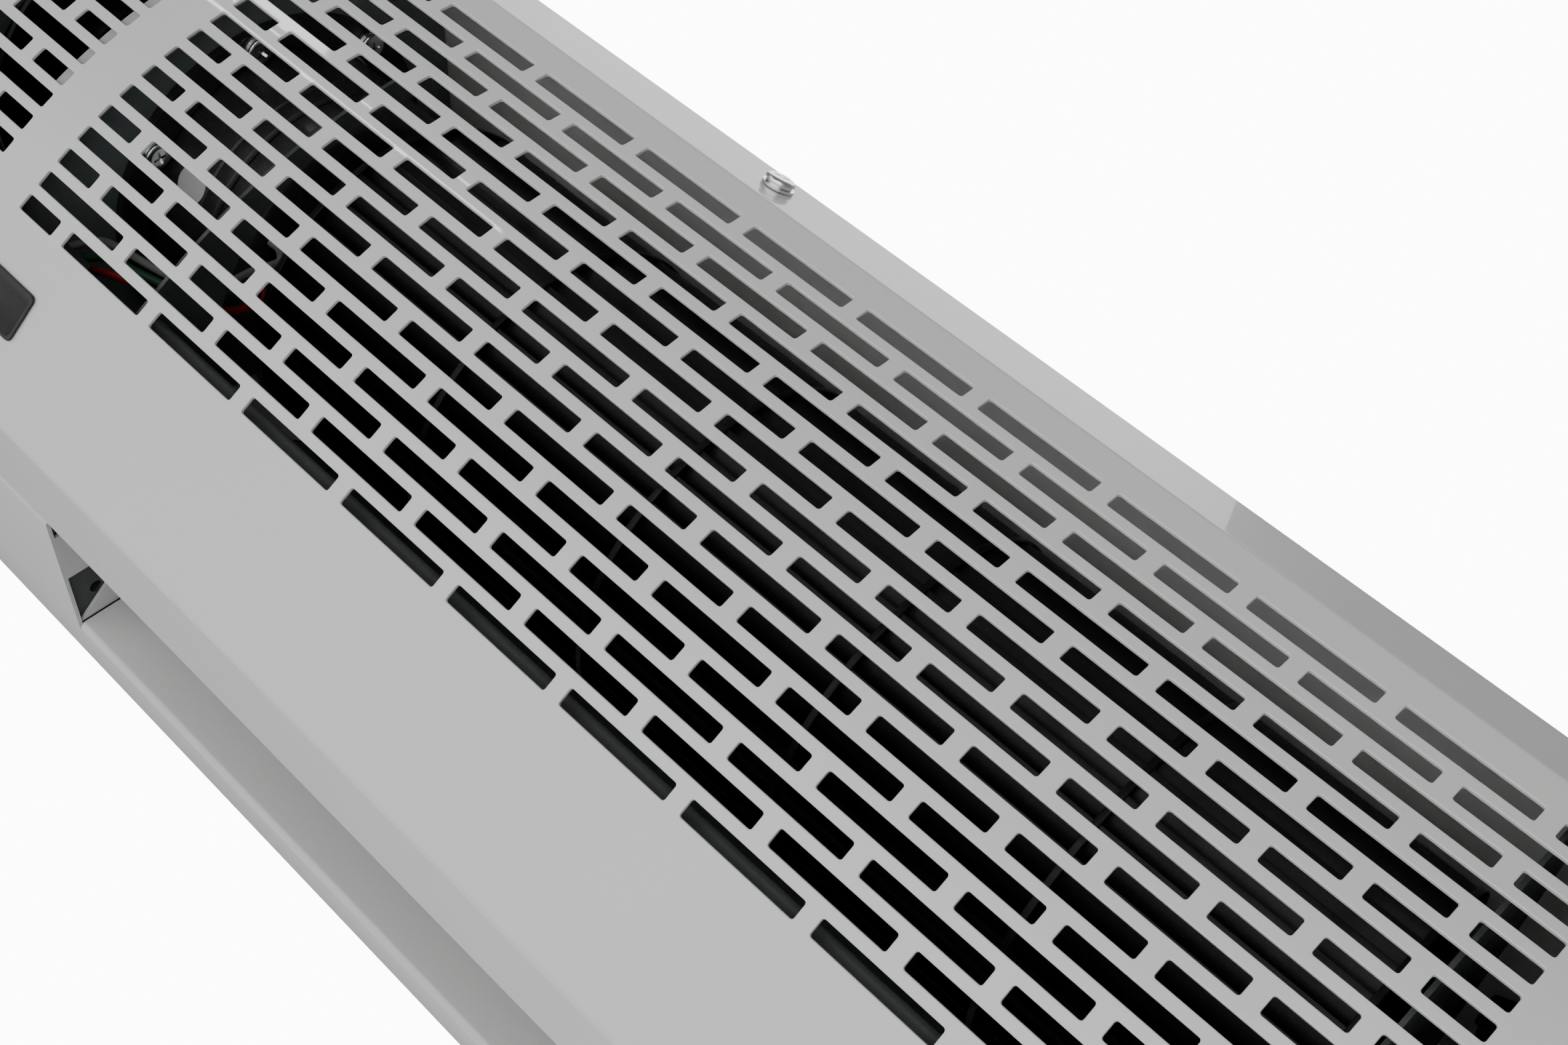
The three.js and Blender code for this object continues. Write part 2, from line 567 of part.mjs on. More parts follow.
// ---------------------------------------------------------------- cross-flow wheels
const WHEEL_LENGTH = OUTLET_END - WHEEL_END_GAP - WHEEL_START;
const HUB_BOSS_RADIUS = 13;

// One blade's section: a thin crescent of four points from the outer edge to the inner edge.
function bladeOutline(turn) {
  const at = (radius, angle) => [radius * Math.cos(angle), radius * Math.sin(angle)];
  const outer = at(WHEEL_RADIUS - 1, turn);
  const inner = at(WHEEL_RADIUS - BLADE_DEPTH, turn + radians(BLADE_SWEEP));
  const middle = [(outer[0] + inner[0]) / 2, (outer[1] + inner[1]) / 2];
  const chord = Math.hypot(inner[0] - outer[0], inner[1] - outer[1]);
  const across = [(inner[1] - outer[1]) / chord, (outer[0] - inner[0]) / chord];
  const bowed = (distance) => [middle[0] + across[0] * distance, middle[1] + across[1] * distance];
  return [outer, bowed(BLADE_CAMBER), inner, bowed(BLADE_CAMBER - BLADE_THICKNESS)];
}

function wheel(sign) {
  const far = WHEEL_START + WHEEL_LENGTH;
  const pieces = [];
  for (let i = 0; i <= WHEEL_SEGMENTS; i++) {
    const centre = WHEEL_START + (i * (WHEEL_LENGTH - RING_THICKNESS)) / WHEEL_SEGMENTS;
    const holes = [];
    if (i === 0) holes.push(bore([0, 0], HUB_BOSS_RADIUS + GAP, 16));
    if (i === WHEEL_SEGMENTS) holes.push(bore([0, 0], STUB_RADIUS + GAP, 12));
    const rim = circle([0, 0], WHEEL_RADIUS, BLADES);
    pieces.push(prism("x", rim, ...span(sign, centre, centre + RING_THICKNESS), holes));
  }
  for (let i = 0; i < BLADES; i++) {
    const outline = bladeOutline((2 * Math.PI * (i + 0.5)) / BLADES);
    pieces.push(prism("x", outline, ...span(sign, WHEEL_START + 1, far - 1)));
  }
  return joined(pieces);
}
for (const { side, sign } of SIDES) place(`wheel_${side}`, wheel(sign), blackPlastic, fanLine);

// ---------------------------------------------------------------- shaft, hubs, stubs and bearings
place("motor_shaft", turned([[-SHAFT_REACH, 0], [-SHAFT_REACH, SHAFT_RADIUS], [SHAFT_REACH, SHAFT_RADIUS],
  [SHAFT_REACH, 0]], 12), steel, fanLine);

const HUB = { flangeRadius: 22, flange: 3, boss: 19 }; // the boss reaches into the wheel
const hub = () =>
  turnedRing(
    [
      [WHEEL_START - GAP - HUB.flange, HUB.flangeRadius],
      [WHEEL_START - GAP, HUB.flangeRadius],
      [WHEEL_START - GAP, HUB_BOSS_RADIUS],
      [WHEEL_START + HUB.boss, HUB_BOSS_RADIUS],
    ],
    SHAFT_RADIUS + RUNNING_CLEARANCE,
    16,
  );

const wheelEnd = WHEEL_START + WHEEL_LENGTH;
const BEARING = { radius: 8, from: OUTLET_END - 4, to: OUTLET_END + 8 };
const STUB = { flangeRadius: 12, flange: 2, reach: BEARING.to + 3 };
function stubShaft() {
  const inside = wheelEnd - RING_THICKNESS - GAP;
  return turned(
    [
      [inside - STUB.flange, 0],
      [inside - STUB.flange, STUB.flangeRadius],
      [inside, STUB.flangeRadius],
      [inside, STUB_RADIUS],
      [STUB.reach, STUB_RADIUS],
      [STUB.reach, 0],
    ],
    12,
  );
}

function bearing() {
  const { radius, from, to } = BEARING;
  return turnedRing([[from, radius], [to, radius]], STUB_RADIUS + RUNNING_CLEARANCE, 12);
}

// Rubber cup, snapped into the outer end plate by its groove.
const CUP = { radius: 18, from: OUTLET_END - 3, to: OUTLET_END + 6.5 };
const bearingCup = () =>
  turnedRing(
    [
      [CUP.from, CUP.radius - 1],
      [OUTLET_END - GAP, CUP.radius],
      [OUTLET_END - GAP, BEARING_HOLE - GAP],
      [OUTLET_END + SHEET + GAP, BEARING_HOLE - GAP],
      [OUTLET_END + SHEET + GAP, CUP.radius],
      [CUP.to, CUP.radius - 2],
    ],
    BEARING.radius + GAP,
    16,
  );

for (const { side, sign } of SIDES) {
  const facing = new THREE.Group(); // drawn outwards along +x, turned about z on the left
  facing.rotation.z = sign > 0 ? 0 : Math.PI;
  fanLine.add(facing);
  place(`drive_hub_${side}`, hub(), zinc, facing);
  place(`stub_shaft_${side}`, stubShaft(), steel, facing);
  place(`bearing_${side}`, bearing(), bronze, facing);
  place(`bearing_cup_${side}`, bearingCup(), rubber, facing);
}

// ---------------------------------------------------------------- motor
const SHAFT_BORE = SHAFT_RADIUS + RUNNING_CLEARANCE;
const SHIELD = { depth: 14, boss: 4, bossRadius: 13 };
const half = MOTOR_BARREL / 2;
const barrel = turnedRing([[-half, MOTOR_RADIUS], [half, MOTOR_RADIUS]], SHAFT_BORE, 24);
place("motor_barrel", barrel, blackPaint, fanLine);

const endShield = () =>
  turnedRing(
    [
      [half + GAP, MOTOR_RADIUS],
      [half + GAP + SHIELD.depth - 5, MOTOR_RADIUS],
      [half + GAP + SHIELD.depth, MOTOR_RADIUS - 6],
      [half + GAP + SHIELD.depth, SHIELD.bossRadius],
      [half + GAP + SHIELD.depth + SHIELD.boss, SHIELD.bossRadius - 1],
    ],
    SHAFT_BORE,
    24,
  );
for (const { side, sign } of SIDES) {
  const mesh = place(`motor_shield_${side}`, endShield(), blackPaint, fanLine);
  mesh.rotation.z = sign > 0 ? 0 : Math.PI;
}

const flangeFrom = BULKHEAD / 2 + GAP;
const motorFlange = () =>
  plate(circle(fanAxis, MOTOR_FLANGE_RADIUS, 24), flangeFrom, flangeFrom + MOTOR_FLANGE, [
    bore(fanAxis, MOTOR_RADIUS + GAP, 24),
    ...flangeScrewPoints().map((point) => circle(point, SCREW_HOLE, 8)),
  ]);
place("motor_flange", motorFlange(), blackPaint);

// ---------------------------------------------------------------- screws
// A pan-head screw along +x: its head starts at 0 and its shank runs to -length.
const screw = (length, head = SCREW_HEAD) =>
  turned(
    [
      [-length, 0],
      [-length, SCREW_SHANK],
      [0, SCREW_SHANK],
      [0, head],
      [SCREW_HEAD_HEIGHT, head * 0.75],
      [SCREW_HEAD_HEIGHT, 0],
    ],
    6,
  );

function placeScrew(name, length, at, pointing, material = chrome) {
  const mesh = place(name, screw(length), material);
  mesh.quaternion.setFromUnitVectors(new THREE.Vector3(1, 0, 0), new THREE.Vector3(...pointing).normalize());
  mesh.position.set(...at);
}

const flangeOut = [0, -upFlange[1], upFlange[0]];
const coverScrewSeat = [
  COVER_SCREW_UP * upFlange[0] + GAP * flangeOut[1],
  TOP_FOLD_HEIGHT + COVER_SCREW_UP * upFlange[1] + GAP * flangeOut[2],
];
COVER_SCREW_PLACES.forEach((x, i) => placeScrew(`cover_screw_${i + 1}`, 9, [x, ...coverScrewSeat], flangeOut));

flangeScrewPoints().forEach(([y, z], i) =>
  placeScrew(`motor_screw_${i + 1}`, 9, [flangeFrom + MOTOR_FLANGE + GAP, y, z], [1, 0, 0]),
);

for (const { side, sign } of SIDES) {
  earScrewHeights.forEach((z, i) => {
    const at = [sign * (LENGTH / 2 + GAP), EAR.from + EAR.width / 2, z];
    placeScrew(`end_screw_${side}_${i + 1}`, 8, at, [sign, 0, 0]);
  });
  const lockAt = [sign * LOCK_SCREW.x, caseBack, LOCK_SCREW.z];
  placeScrew(`lock_screw_${side}`, SHEET + GAP + WALL_PLATE, lockAt, [0, -1, 0], zinc);
}

// ---------------------------------------------------------------- wall plate
function wallPlate() {
  const [low, high] = [MOUNT_HEIGHT - WALL_PLATE_HEIGHT / 2, MOUNT_HEIGHT + WALL_PLATE_HEIGHT / 2];
  const [front, back] = [DEPTH + GAP, DEPTH + GAP + WALL_PLATE];
  const slot = (x) => [[MOUNT_HEIGHT - 7, x - 3.5], [MOUNT_HEIGHT - 7, x + 3.5], [MOUNT_HEIGHT + 7, x + 3.5],
    [MOUNT_HEIGHT + 7, x - 3.5]];
  const outline = [[low, -WALL_PLATE_HALF], [high, -WALL_PLATE_HALF], [high, WALL_PLATE_HALF],
    [low, WALL_PLATE_HALF]];
  const outerSlot = WALL_PLATE_HALF - WALL_SLOT_END;
  const wallSlots = [-outerSlot, -WALL_SLOT_MIDDLE, WALL_SLOT_MIDDLE, outerSlot].map(slot);
  const lockHoles = SIDES.map(({ sign }) => circle([LOCK_SCREW.z, sign * LOCK_SCREW.x], SCREW_HOLE, 8));
  const sheet = prism("y", outline, front, back, [...wallSlots, ...lockHoles]);
  const hooks = HOOK_PLACES.flatMap((x) => {
    const width = [x - HOOK_WIDTH / 2, x + HOOK_WIDTH / 2];
    return [
      box(width, [caseBack - SHEET, front + 0.5], [HOOK_TOP - 1.5, HOOK_TOP]),
      box(width, [caseBack - SHEET, caseBack], [HOOK_TOP - 1, HOOK_TOP + HOOK_RISE]),
    ];
  });
  return joined([sheet, ...hooks]);
}
place("wall_plate", wallPlate(), zinc);

// ---------------------------------------------------------------- electrical parts
function capacitor() {
  const { length, width, depth, lug, lugThickness, foot } = CAPACITOR;
  const body = box([capacitorEnd, capacitorEnd + length], [caseBack - depth, caseBack], [foot, foot + width]);
  const { x, z } = capacitorScrew;
  const ear = box([capacitorEnd - lug, capacitorEnd + 1], [caseBack - lugThickness, caseBack], [z - 7, z + 7]);
  const hole = prism("y", circle([z, x], SCREW_HOLE, 8), caseBack - lugThickness - 1, caseBack + 1);
  return joined([body, ear]).subtract(hole);
}
place("capacitor", capacitor(), blackPlastic);
const capacitorScrewAt = [capacitorScrew.x, caseBack - CAPACITOR.lugThickness - GAP, capacitorScrew.z];
placeScrew("capacitor_screw", 4, capacitorScrewAt, [0, -1, 0], zinc);

function terminalBracket() {
  const start = BULKHEAD / 2 + GAP;
  const y = [bracketFrom, bracketFrom + BRACKET.width];
  const leg = box([start, start + SHEET], y, [BRACKET.foot, bracketShelf]);
  const shelf = box([start, start + BRACKET.reach], y, [bracketShelf - SHEET, bracketShelf]);
  const hole = prism("x", circle(bracketScrew, SCREW_HOLE, 8), 0, 5);
  return joined([leg, shelf]).subtract(hole);
}
place("terminal_bracket", terminalBracket(), greyPaint);
placeScrew("bracket_screw", 6, [BULKHEAD / 2 + 2 * GAP + SHEET, ...bracketScrew], [1, 0, 0], zinc);

const TERMINALS = { x: [3, 22], y: [bracketFrom + 1, bracketFrom + 11], height: 12.7, poles: 3 };
const terminalTop = bracketShelf + GAP + TERMINALS.height;
function terminalBlock() {
  const { x, y, height, poles } = TERMINALS;
  const block = box(x, y, [terminalTop - height, terminalTop]);
  const pitch = (x[1] - x[0]) / poles;
  const wells = Array.from({ length: poles }, (_, i) => {
    const centre = x[0] + (i + 0.5) * pitch;
    return box([centre - 2.2, centre + 2.2], [y[0] + 2, y[1] - 2], [terminalTop - 7, terminalTop + 1]);
  });
  return cutBy(block, wells);
}
place("terminal_block", terminalBlock(), darkInsulator);

// A lead from its pole's well to the motor's right shield.
const LEAD_RADIUS = 1.3;
function lead(points) {
  const curve = new THREE.CatmullRomCurve3(points.map((p) => new THREE.Vector3(...p)), false, "centripetal");
  const round = new THREE.Shape(circle([0, 0], LEAD_RADIUS, 8).map(([u, v]) => new THREE.Vector2(u, v)));
  return solidOf(new THREE.ExtrudeGeometry(round, { steps: 12, extrudePath: curve, bevelEnabled: false }));
}
const shieldFace = half + GAP + SHIELD.depth + GAP;
const wellFloor = terminalTop - 7 + GAP;
// Up out of the well, along behind the cover, up beside the inner end plate and back to the shield.
function leadRoute(pole, lift, fromAxis) {
  const [x0, x1] = TERMINALS.x;
  const x = x0 + ((pole + 0.5) * (x1 - x0)) / TERMINALS.poles;
  const y = (TERMINALS.y[0] + TERMINALS.y[1]) / 2;
  const exit = [AXIS_DEPTH + fromAxis[0], AXIS_HEIGHT + fromAxis[1]];
  return [
    [x, y, wellFloor],
    [x, y, wellFloor + 7.5],
    [x + 8, y - 3, wellFloor + 10.5 + lift],
    [x1 + 17, y - 7 + pole, wellFloor + 13.5 + lift],
    [shieldFace + 8, y - 8 + 1.5 * pole, wellFloor + 18 + lift],
    [shieldFace + 8, exit[0] - 2, exit[1] - 12],
    [shieldFace + 8, exit[0], exit[1] - 3],
    [shieldFace + 4, ...exit],
    [shieldFace, ...exit],
  ];
}
place("lead_white", lead(leadRoute(0, 5, [-20, -29])), whiteLead);
place("lead_green", lead(leadRoute(1, 2, [-15, -33])), greenLead);
place("lead_red", lead(leadRoute(2, -1, [-9.5, -36])), redLead);

function cableGland() {
  const top = HEIGHT + GAP;
  const under = HEIGHT - SHEET - GAP;
  const profile = [
    [under - 9, gland.radius],
    [under - 4, gland.radius],
    [under - 4, 11],
    [under, 11],
    [under, gland.radius],
    [top, gland.radius],
    [top, 11],
    [top + 4, 11],
    [top + 5, 8.5],
    [top + 11, 6.5],
  ];
  return turnedRing(profile, 4, 12);
}
const glandMesh = place("cable_gland", cableGland(), blackPlastic);
glandMesh.rotation.y = -Math.PI / 2;
glandMesh.position.set(gland.x, gland.y, 0);

// ---------------------------------------------------------------- rocker switch
const PIVOT_X = LENGTH / 2 - 2.5;
const face = LENGTH / 2 + GAP;

function switchHousing() {
  const { y, z } = switchPlace;
  const around = (halfY, halfZ) => [[y - halfY, y + halfY], [z - halfZ, z + halfZ]];
  const barrel = box([face - 22, face + 0.5], ...around(housingY, housingZ));
  const bezel = box([face, face + 1.7], ...around(housingY + SWITCH.bezel, housingZ + SWITCH.bezel));
  const pocket = box([PIVOT_X - POCKET.floor, face + 3], ...around(POCKET.halfY, POCKET.halfZ));
  const reach = ROCKER.halfY + ROCKER.pinReach + GAP;
  const sockets = prism("y", circle([z, PIVOT_X], ROCKER.pin + GAP, 8), y - reach, y + reach);
  const tabs = [-8, 0, 8].map((up) =>
    box([face - 30, face - 21], [y - 3, y + 3], [z + up - 0.5, z + up + 0.5]),
  );
  return cutBy(joined([barrel, bezel, ...tabs]), [pocket, sockets]);
}

// The rocker as it rests, with its lower end pressed in.
function rocker() {
  const { halfY, halfZ, rise, depth, keel, pin, pinReach } = ROCKER;
  const half = [[0, rise - 1.8], [halfZ, rise], [halfZ - 1.1, -depth / 2], [keel, -depth]];
  const key = [...half, ...half.slice(1).reverse().map(([up, out]) => [-up, out])];
  const { y, z } = switchPlace;
  const outline = key.map(([up, out]) => [
    z + up * tiltCos - out * tiltSin,
    PIVOT_X + out * tiltCos + up * tiltSin,
  ]);
  const body = prism("y", outline, y - halfY, y + halfY);
  const reach = halfY + pinReach;
  return body.add(prism("y", circle([z, PIVOT_X], pin, 8), y - reach, y + reach));
}
place("switch_housing", switchHousing(), blackPlastic);
place("switch_rocker", rocker(), blackPlastic);

export default unit;
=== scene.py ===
"""The dressed air curtain: sheet metal with rounded folds and punched slots, fan wheels, motor, fittings and stage."""

import json
import math
import random

import bmesh
import bpy
from bpy.props import FloatProperty, FloatVectorProperty, IntProperty, PointerProperty
from mathutils import Matrix, Vector
from mathutils.geometry import delaunay_2d_cdt

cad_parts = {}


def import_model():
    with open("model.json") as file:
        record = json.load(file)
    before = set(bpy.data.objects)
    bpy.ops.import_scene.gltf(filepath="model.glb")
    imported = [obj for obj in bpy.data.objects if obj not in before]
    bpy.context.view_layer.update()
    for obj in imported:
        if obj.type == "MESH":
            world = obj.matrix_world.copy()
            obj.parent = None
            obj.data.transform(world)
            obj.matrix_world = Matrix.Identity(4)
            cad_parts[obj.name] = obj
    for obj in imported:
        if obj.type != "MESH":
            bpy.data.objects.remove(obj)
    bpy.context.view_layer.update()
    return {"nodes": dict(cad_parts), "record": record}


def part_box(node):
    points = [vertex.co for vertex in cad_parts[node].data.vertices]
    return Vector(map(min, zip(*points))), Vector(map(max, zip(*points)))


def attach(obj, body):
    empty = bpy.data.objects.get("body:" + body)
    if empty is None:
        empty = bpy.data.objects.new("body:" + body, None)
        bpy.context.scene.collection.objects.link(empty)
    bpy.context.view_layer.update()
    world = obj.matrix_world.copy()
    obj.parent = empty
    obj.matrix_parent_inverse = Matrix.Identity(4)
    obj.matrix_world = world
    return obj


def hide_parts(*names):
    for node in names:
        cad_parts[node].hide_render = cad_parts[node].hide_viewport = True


bl_info = {
    "name": "Air Curtain",
    "version": (1, 0, 0),
    "blender": (4, 5, 0),
    "location": "3D View > Sidebar > Air Curtain",
    "description": "Builds the pieces, finishes and stage of a wall-hung air curtain",
    "category": "Add Mesh",
}

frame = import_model()

# Sizes below are millimetres in the unit's section: x along the unit, y back from the cover's upright face,
# z up from the underside.
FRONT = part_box("front_cover")[0].y
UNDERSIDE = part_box("rear_case")[0].z
SHAFT = sum(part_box("motor_shaft"), Vector()) / 2
AXIS = ((SHAFT.y - FRONT) * 1000, (SHAFT.z - UNDERSIDE) * 1000)
SIDES = (("left", -1), ("right", 1))


def world(x, y, z):
    """A point of the section as a place in the frame, in metres."""
    return Vector((x / 1000, FRONT + y / 1000, UNDERSIDE + z / 1000))


# ------------------------------------------------------------------ sizes and colours


def millimetres(name, description, default):
    return FloatProperty(name=name, description=description, default=default, min=0)


def colour(name, description, default):
    return FloatVectorProperty(
        name=name, description=description, default=default, subtype="COLOR", size=3, min=0, max=1
    )


class CoverSizes(bpy.types.PropertyGroup):
    sheet: millimetres("Sheet", "Thickness of the cover's sheet, mm", 1.2)
    fold: millimetres("Fold", "Outer radius of the folds, mm", 2.2)
    slot_length: millimetres("Slot length", "Length of a full slot, mm", 35.0)
    slot_height: millimetres("Slot height", "Height of every slot, mm", 4.9)
    bar: millimetres("Bar", "Sheet left between two slots of a row, mm", 5.0)
    short_slot: millimetres("Short slot", "Length of the slot that ends each row, mm", 15.0)
    pitch: millimetres("Row pitch", "Distance between rows, mm", 8.12)
    first_row: millimetres("First row", "Centre of the top row below the top fold, mm", 11.4)
    band: millimetres("Band", "Plain sheet between the two grilles, mm", 17.0)
    corner: millimetres("Slot corner", "Radius of a slot's corners, mm", 0.7)
    lip: millimetres("Slot lip", "Rounding of the paint over a slot's edge, mm", 0.32)
    slots: IntProperty(name="Slots", description="Full slots in each row of a grille", default=10, min=1)


class WheelSizes(bpy.types.PropertyGroup):
    blades: IntProperty(name="Blades", description="Blades round a wheel", default=36, min=8)
    blade: millimetres("Blade", "Thickness of a blade, mm", 0.9)
    radius: millimetres("Radius", "Radius of a wheel, mm", 51.9)
    root: millimetres("Root", "Radius of the blades' inner edges, mm", 41.5)


class Colours(bpy.types.PropertyGroup):
    paint: colour("Paint", "Powder coat of the case and cover", (0.60, 0.60, 0.595))
    grey: colour("Grey sheet", "Coating of the inner plates", (0.045, 0.052, 0.051))
    black: colour("Black", "Motor, wheels and black plastic", (0.012, 0.012, 0.0125))
    plating: colour("Plating", "Zinc-plated sheet", (0.52, 0.53, 0.55))


class StageSettings(bpy.types.PropertyGroup):
    lens: FloatProperty(name="Lens", description="Focal length, mm", default=47.71, min=1)
    floor: FloatProperty(name="Floor", description="Height of the floor, m", default=-0.75, subtype="DISTANCE")
    ambient: FloatProperty(name="Ambient", description="Strength of the surrounding light", default=0.2, min=0)
    backdrop: FloatProperty(name="Backdrop", description="Brightness of the backdrop in view", default=12.0, min=0)


# ------------------------------------------------------------------ shader expressions


class Value:
    """A socket of a node tree that Python's operators turn into Math nodes."""

    def __init__(self, tree, socket):
        self.tree = tree
        self.socket = socket

    def _math(self, operation, *values, clamp=False):
        inputs = dict(enumerate(values))
        return node(self.tree, "ShaderNodeMath", {"operation": operation, "use_clamp": clamp}, inputs)

    def __add__(self, other):
        return self._math("ADD", self, other)

    def __sub__(self, other):
        return self._math("SUBTRACT", self, other)

    def __mul__(self, other):
        return self._math("MULTIPLY", self, other)

    def __rsub__(self, other):
        return self._math("SUBTRACT", other, self)

    __radd__ = __add__
    __rmul__ = __mul__

    def above(self, level, softness):
        """0 below the level and 1 above it, over a soft edge."""
        return self._math("MULTIPLY", self - (level - softness / 2), 1 / softness, clamp=True)


def node(tree, kind, settings=None, inputs=None, output=0):
    """Adds a node, sets its settings first and then its sockets, and returns one output."""
    made = tree.nodes.new(kind)
    for key, value in (settings or {}).items():
        if key == "stops":
            ramp = made.color_ramp
            while len(ramp.elements) < len(value):
                ramp.elements.new(0.5)
            for element, (position, shade) in zip(ramp.elements, value):
                element.position = position
                element.color = (*shade, 1)
        else:
            setattr(made, key, value)
    for key, value in (inputs or {}).items():
        if isinstance(value, Value):
            tree.links.new(value.socket, made.inputs[key])
        else:
            made.inputs[key].default_value = value
    return Value(tree, made.outputs[output])


def blend(tree, factor, low, high):
    """A mix of two colours."""
    sockets = {"Factor": factor, 6: low, 7: high}
    return node(tree, "ShaderNodeMix", {"data_type": "RGBA"}, sockets, output=2)


def noise(tree, scale, detail=2.0, roughness=0.5, stretch=(1, 1, 1)):
    place = node(tree, "ShaderNodeTexCoord", output="Object")
    stretched = node(tree, "ShaderNodeMapping", {}, {"Vector": place, "Scale": stretch})
    sockets = {"Vector": stretched, "Scale": scale, "Detail": detail, "Roughness": roughness}
    return node(tree, "ShaderNodeTexNoise", {}, sockets, output="Fac")


def surface(name, constants):
    """A new material with one Principled shader, and its tree."""
    material = bpy.data.materials.new(name)
    material.use_nodes = True
    shader = material.node_tree.nodes["Principled BSDF"]
    for key, value in constants.items():
        shader.inputs[key].default_value = value
    return material, material.node_tree, shader


def feed(tree, shader, **links):
    for key, value in links.items():
        tree.links.new(value.socket, shader.inputs[key.replace("_", " ")])


def bump(tree, height, strength, distance):
    return node(tree, "ShaderNodeBump", {}, {"Height": height, "Strength": strength, "Distance": distance})


def rgba(colour, factor=1.0):
    return (*(min(1.0, c * factor) for c in colour), 1.0)


# ------------------------------------------------------------------ finishes


def powder_coat(name, shade):
    """Smooth semi-gloss powder coat: faint orange peel, a little tonal drift and rare specks."""
    material, tree, shader = surface(name, {"Specular IOR Level": 0.4, "Coat Weight": 0.55, "Coat Roughness": 0.03})
    drift = noise(tree, 9, 3)
    peel = noise(tree, 620, 2, 0.4)
    ripple = noise(tree, 95, 1)
    specks = noise(tree, 1500, 1).above(0.79, 0.03)
    tone = blend(tree, drift, rgba(shade, 0.965), rgba(shade, 1.035))
    feed(
        tree,
        shader,
        Base_Color=blend(tree, specks * 0.35, tone, rgba(shade, 0.72)),
        Roughness=0.34 + peel * 0.07,
        Normal=bump(tree, peel * 0.6 + ripple, 0.16, 0.00045),
    )
    return material


def coated_sheet(name, shade, roughness=0.42):
    """Dark coated sheet: fine grain, dull patches and dust that settles in streaks."""
    material, tree, shader = surface(name, {"Specular IOR Level": 0.45})
    grain = noise(tree, 900, 3)
    dust = noise(tree, 34, 5, 0.62, (0.35, 1, 1)).above(0.55, 0.3)
    tone = blend(tree, grain, rgba(shade, 0.82), rgba(shade, 1.2))
    feed(
        tree,
        shader,
        Base_Color=blend(tree, dust * 0.18, tone, rgba(shade, 2.2)),
        Roughness=roughness + dust * 0.16 + grain * 0.05,
        Normal=bump(tree, grain, 0.12, 0.0003),
    )
    return material


def black_enamel(name, shade, shine=0.5):
    """Black enamel over cast and turned metal, slightly sparkling."""
    coat = {"Specular IOR Level": shine, "Coat Weight": shine * 0.3, "Coat Roughness": 0.2}
    material, tree, shader = surface(name, coat)
    sparkle = noise(tree, 2600, 2).above(0.66, 0.08)
    grain = noise(tree, 480, 4)
    feed(
        tree,
        shader,
        Base_Color=blend(tree, sparkle * 0.5, rgba(shade), rgba(shade, 9)),
        Roughness=0.36 + grain * 0.14,
        Normal=bump(tree, grain, 0.2, 0.0004),
    )
    return material


def moulded_plastic(name, shade, roughness=0.5):
    """Moulded plastic with a fine spark-eroded grain."""
    material, tree, shader = surface(name, {"Specular IOR Level": 0.45})
    grain = noise(tree, 1400, 3, 0.6)
    wear = noise(tree, 60, 4)
    feed(
        tree,
        shader,
        Base_Color=blend(tree, wear, rgba(shade, 0.9), rgba(shade, 1.12)),
        Roughness=roughness + grain * 0.14,
        Normal=bump(tree, grain, 0.3, 0.0002),
    )
    return material


def plated_metal(name, shade, roughness, grain_scale=700, stretch=(1, 1, 1)):
    """Plated or ground metal: directional grain and cloudy patches."""
    material, tree, shader = surface(name, {"Metallic": 1.0})
    clouds = noise(tree, 55, 4, 0.6)
    grain = noise(tree, grain_scale, 3, 0.5, stretch)
    feed(
        tree,
        shader,
        Base_Color=blend(tree, clouds, rgba(shade, 0.82), rgba(shade, 1.1)),
        Roughness=roughness + clouds * 0.1 + grain * 0.08,
        Normal=bump(tree, grain, 0.12, 0.0002),
    )
    return material


def soft_rubber(name, shade):
    """Matt rubber with a faint bloom."""
    material, tree, shader = surface(name, {"Specular IOR Level": 0.3})
    bloom = noise(tree, 80, 4).above(0.5, 0.4)
    feed(
        tree,
        shader,
        Base_Color=blend(tree, bloom * 0.4, rgba(shade), rgba(shade, 2.4)),
        Roughness=0.72 + bloom * 0.15,
        Normal=bump(tree, noise(tree, 700, 3), 0.25, 0.0003),
    )
    return material


def wire_sleeve(name, shade):
    """Extruded vinyl sleeve of a wire."""
    material, tree, shader = surface(name, {"Specular IOR Level": 0.5})
    grain = noise(tree, 300, 3)
    feed(
        tree,
        shader,
        Base_Color=blend(tree, grain, rgba(shade, 0.85), rgba(shade, 1.12)),
        Roughness=0.3 + grain * 0.15,
        Normal=bump(tree, grain, 0.08, 0.0002),
    )
    return material


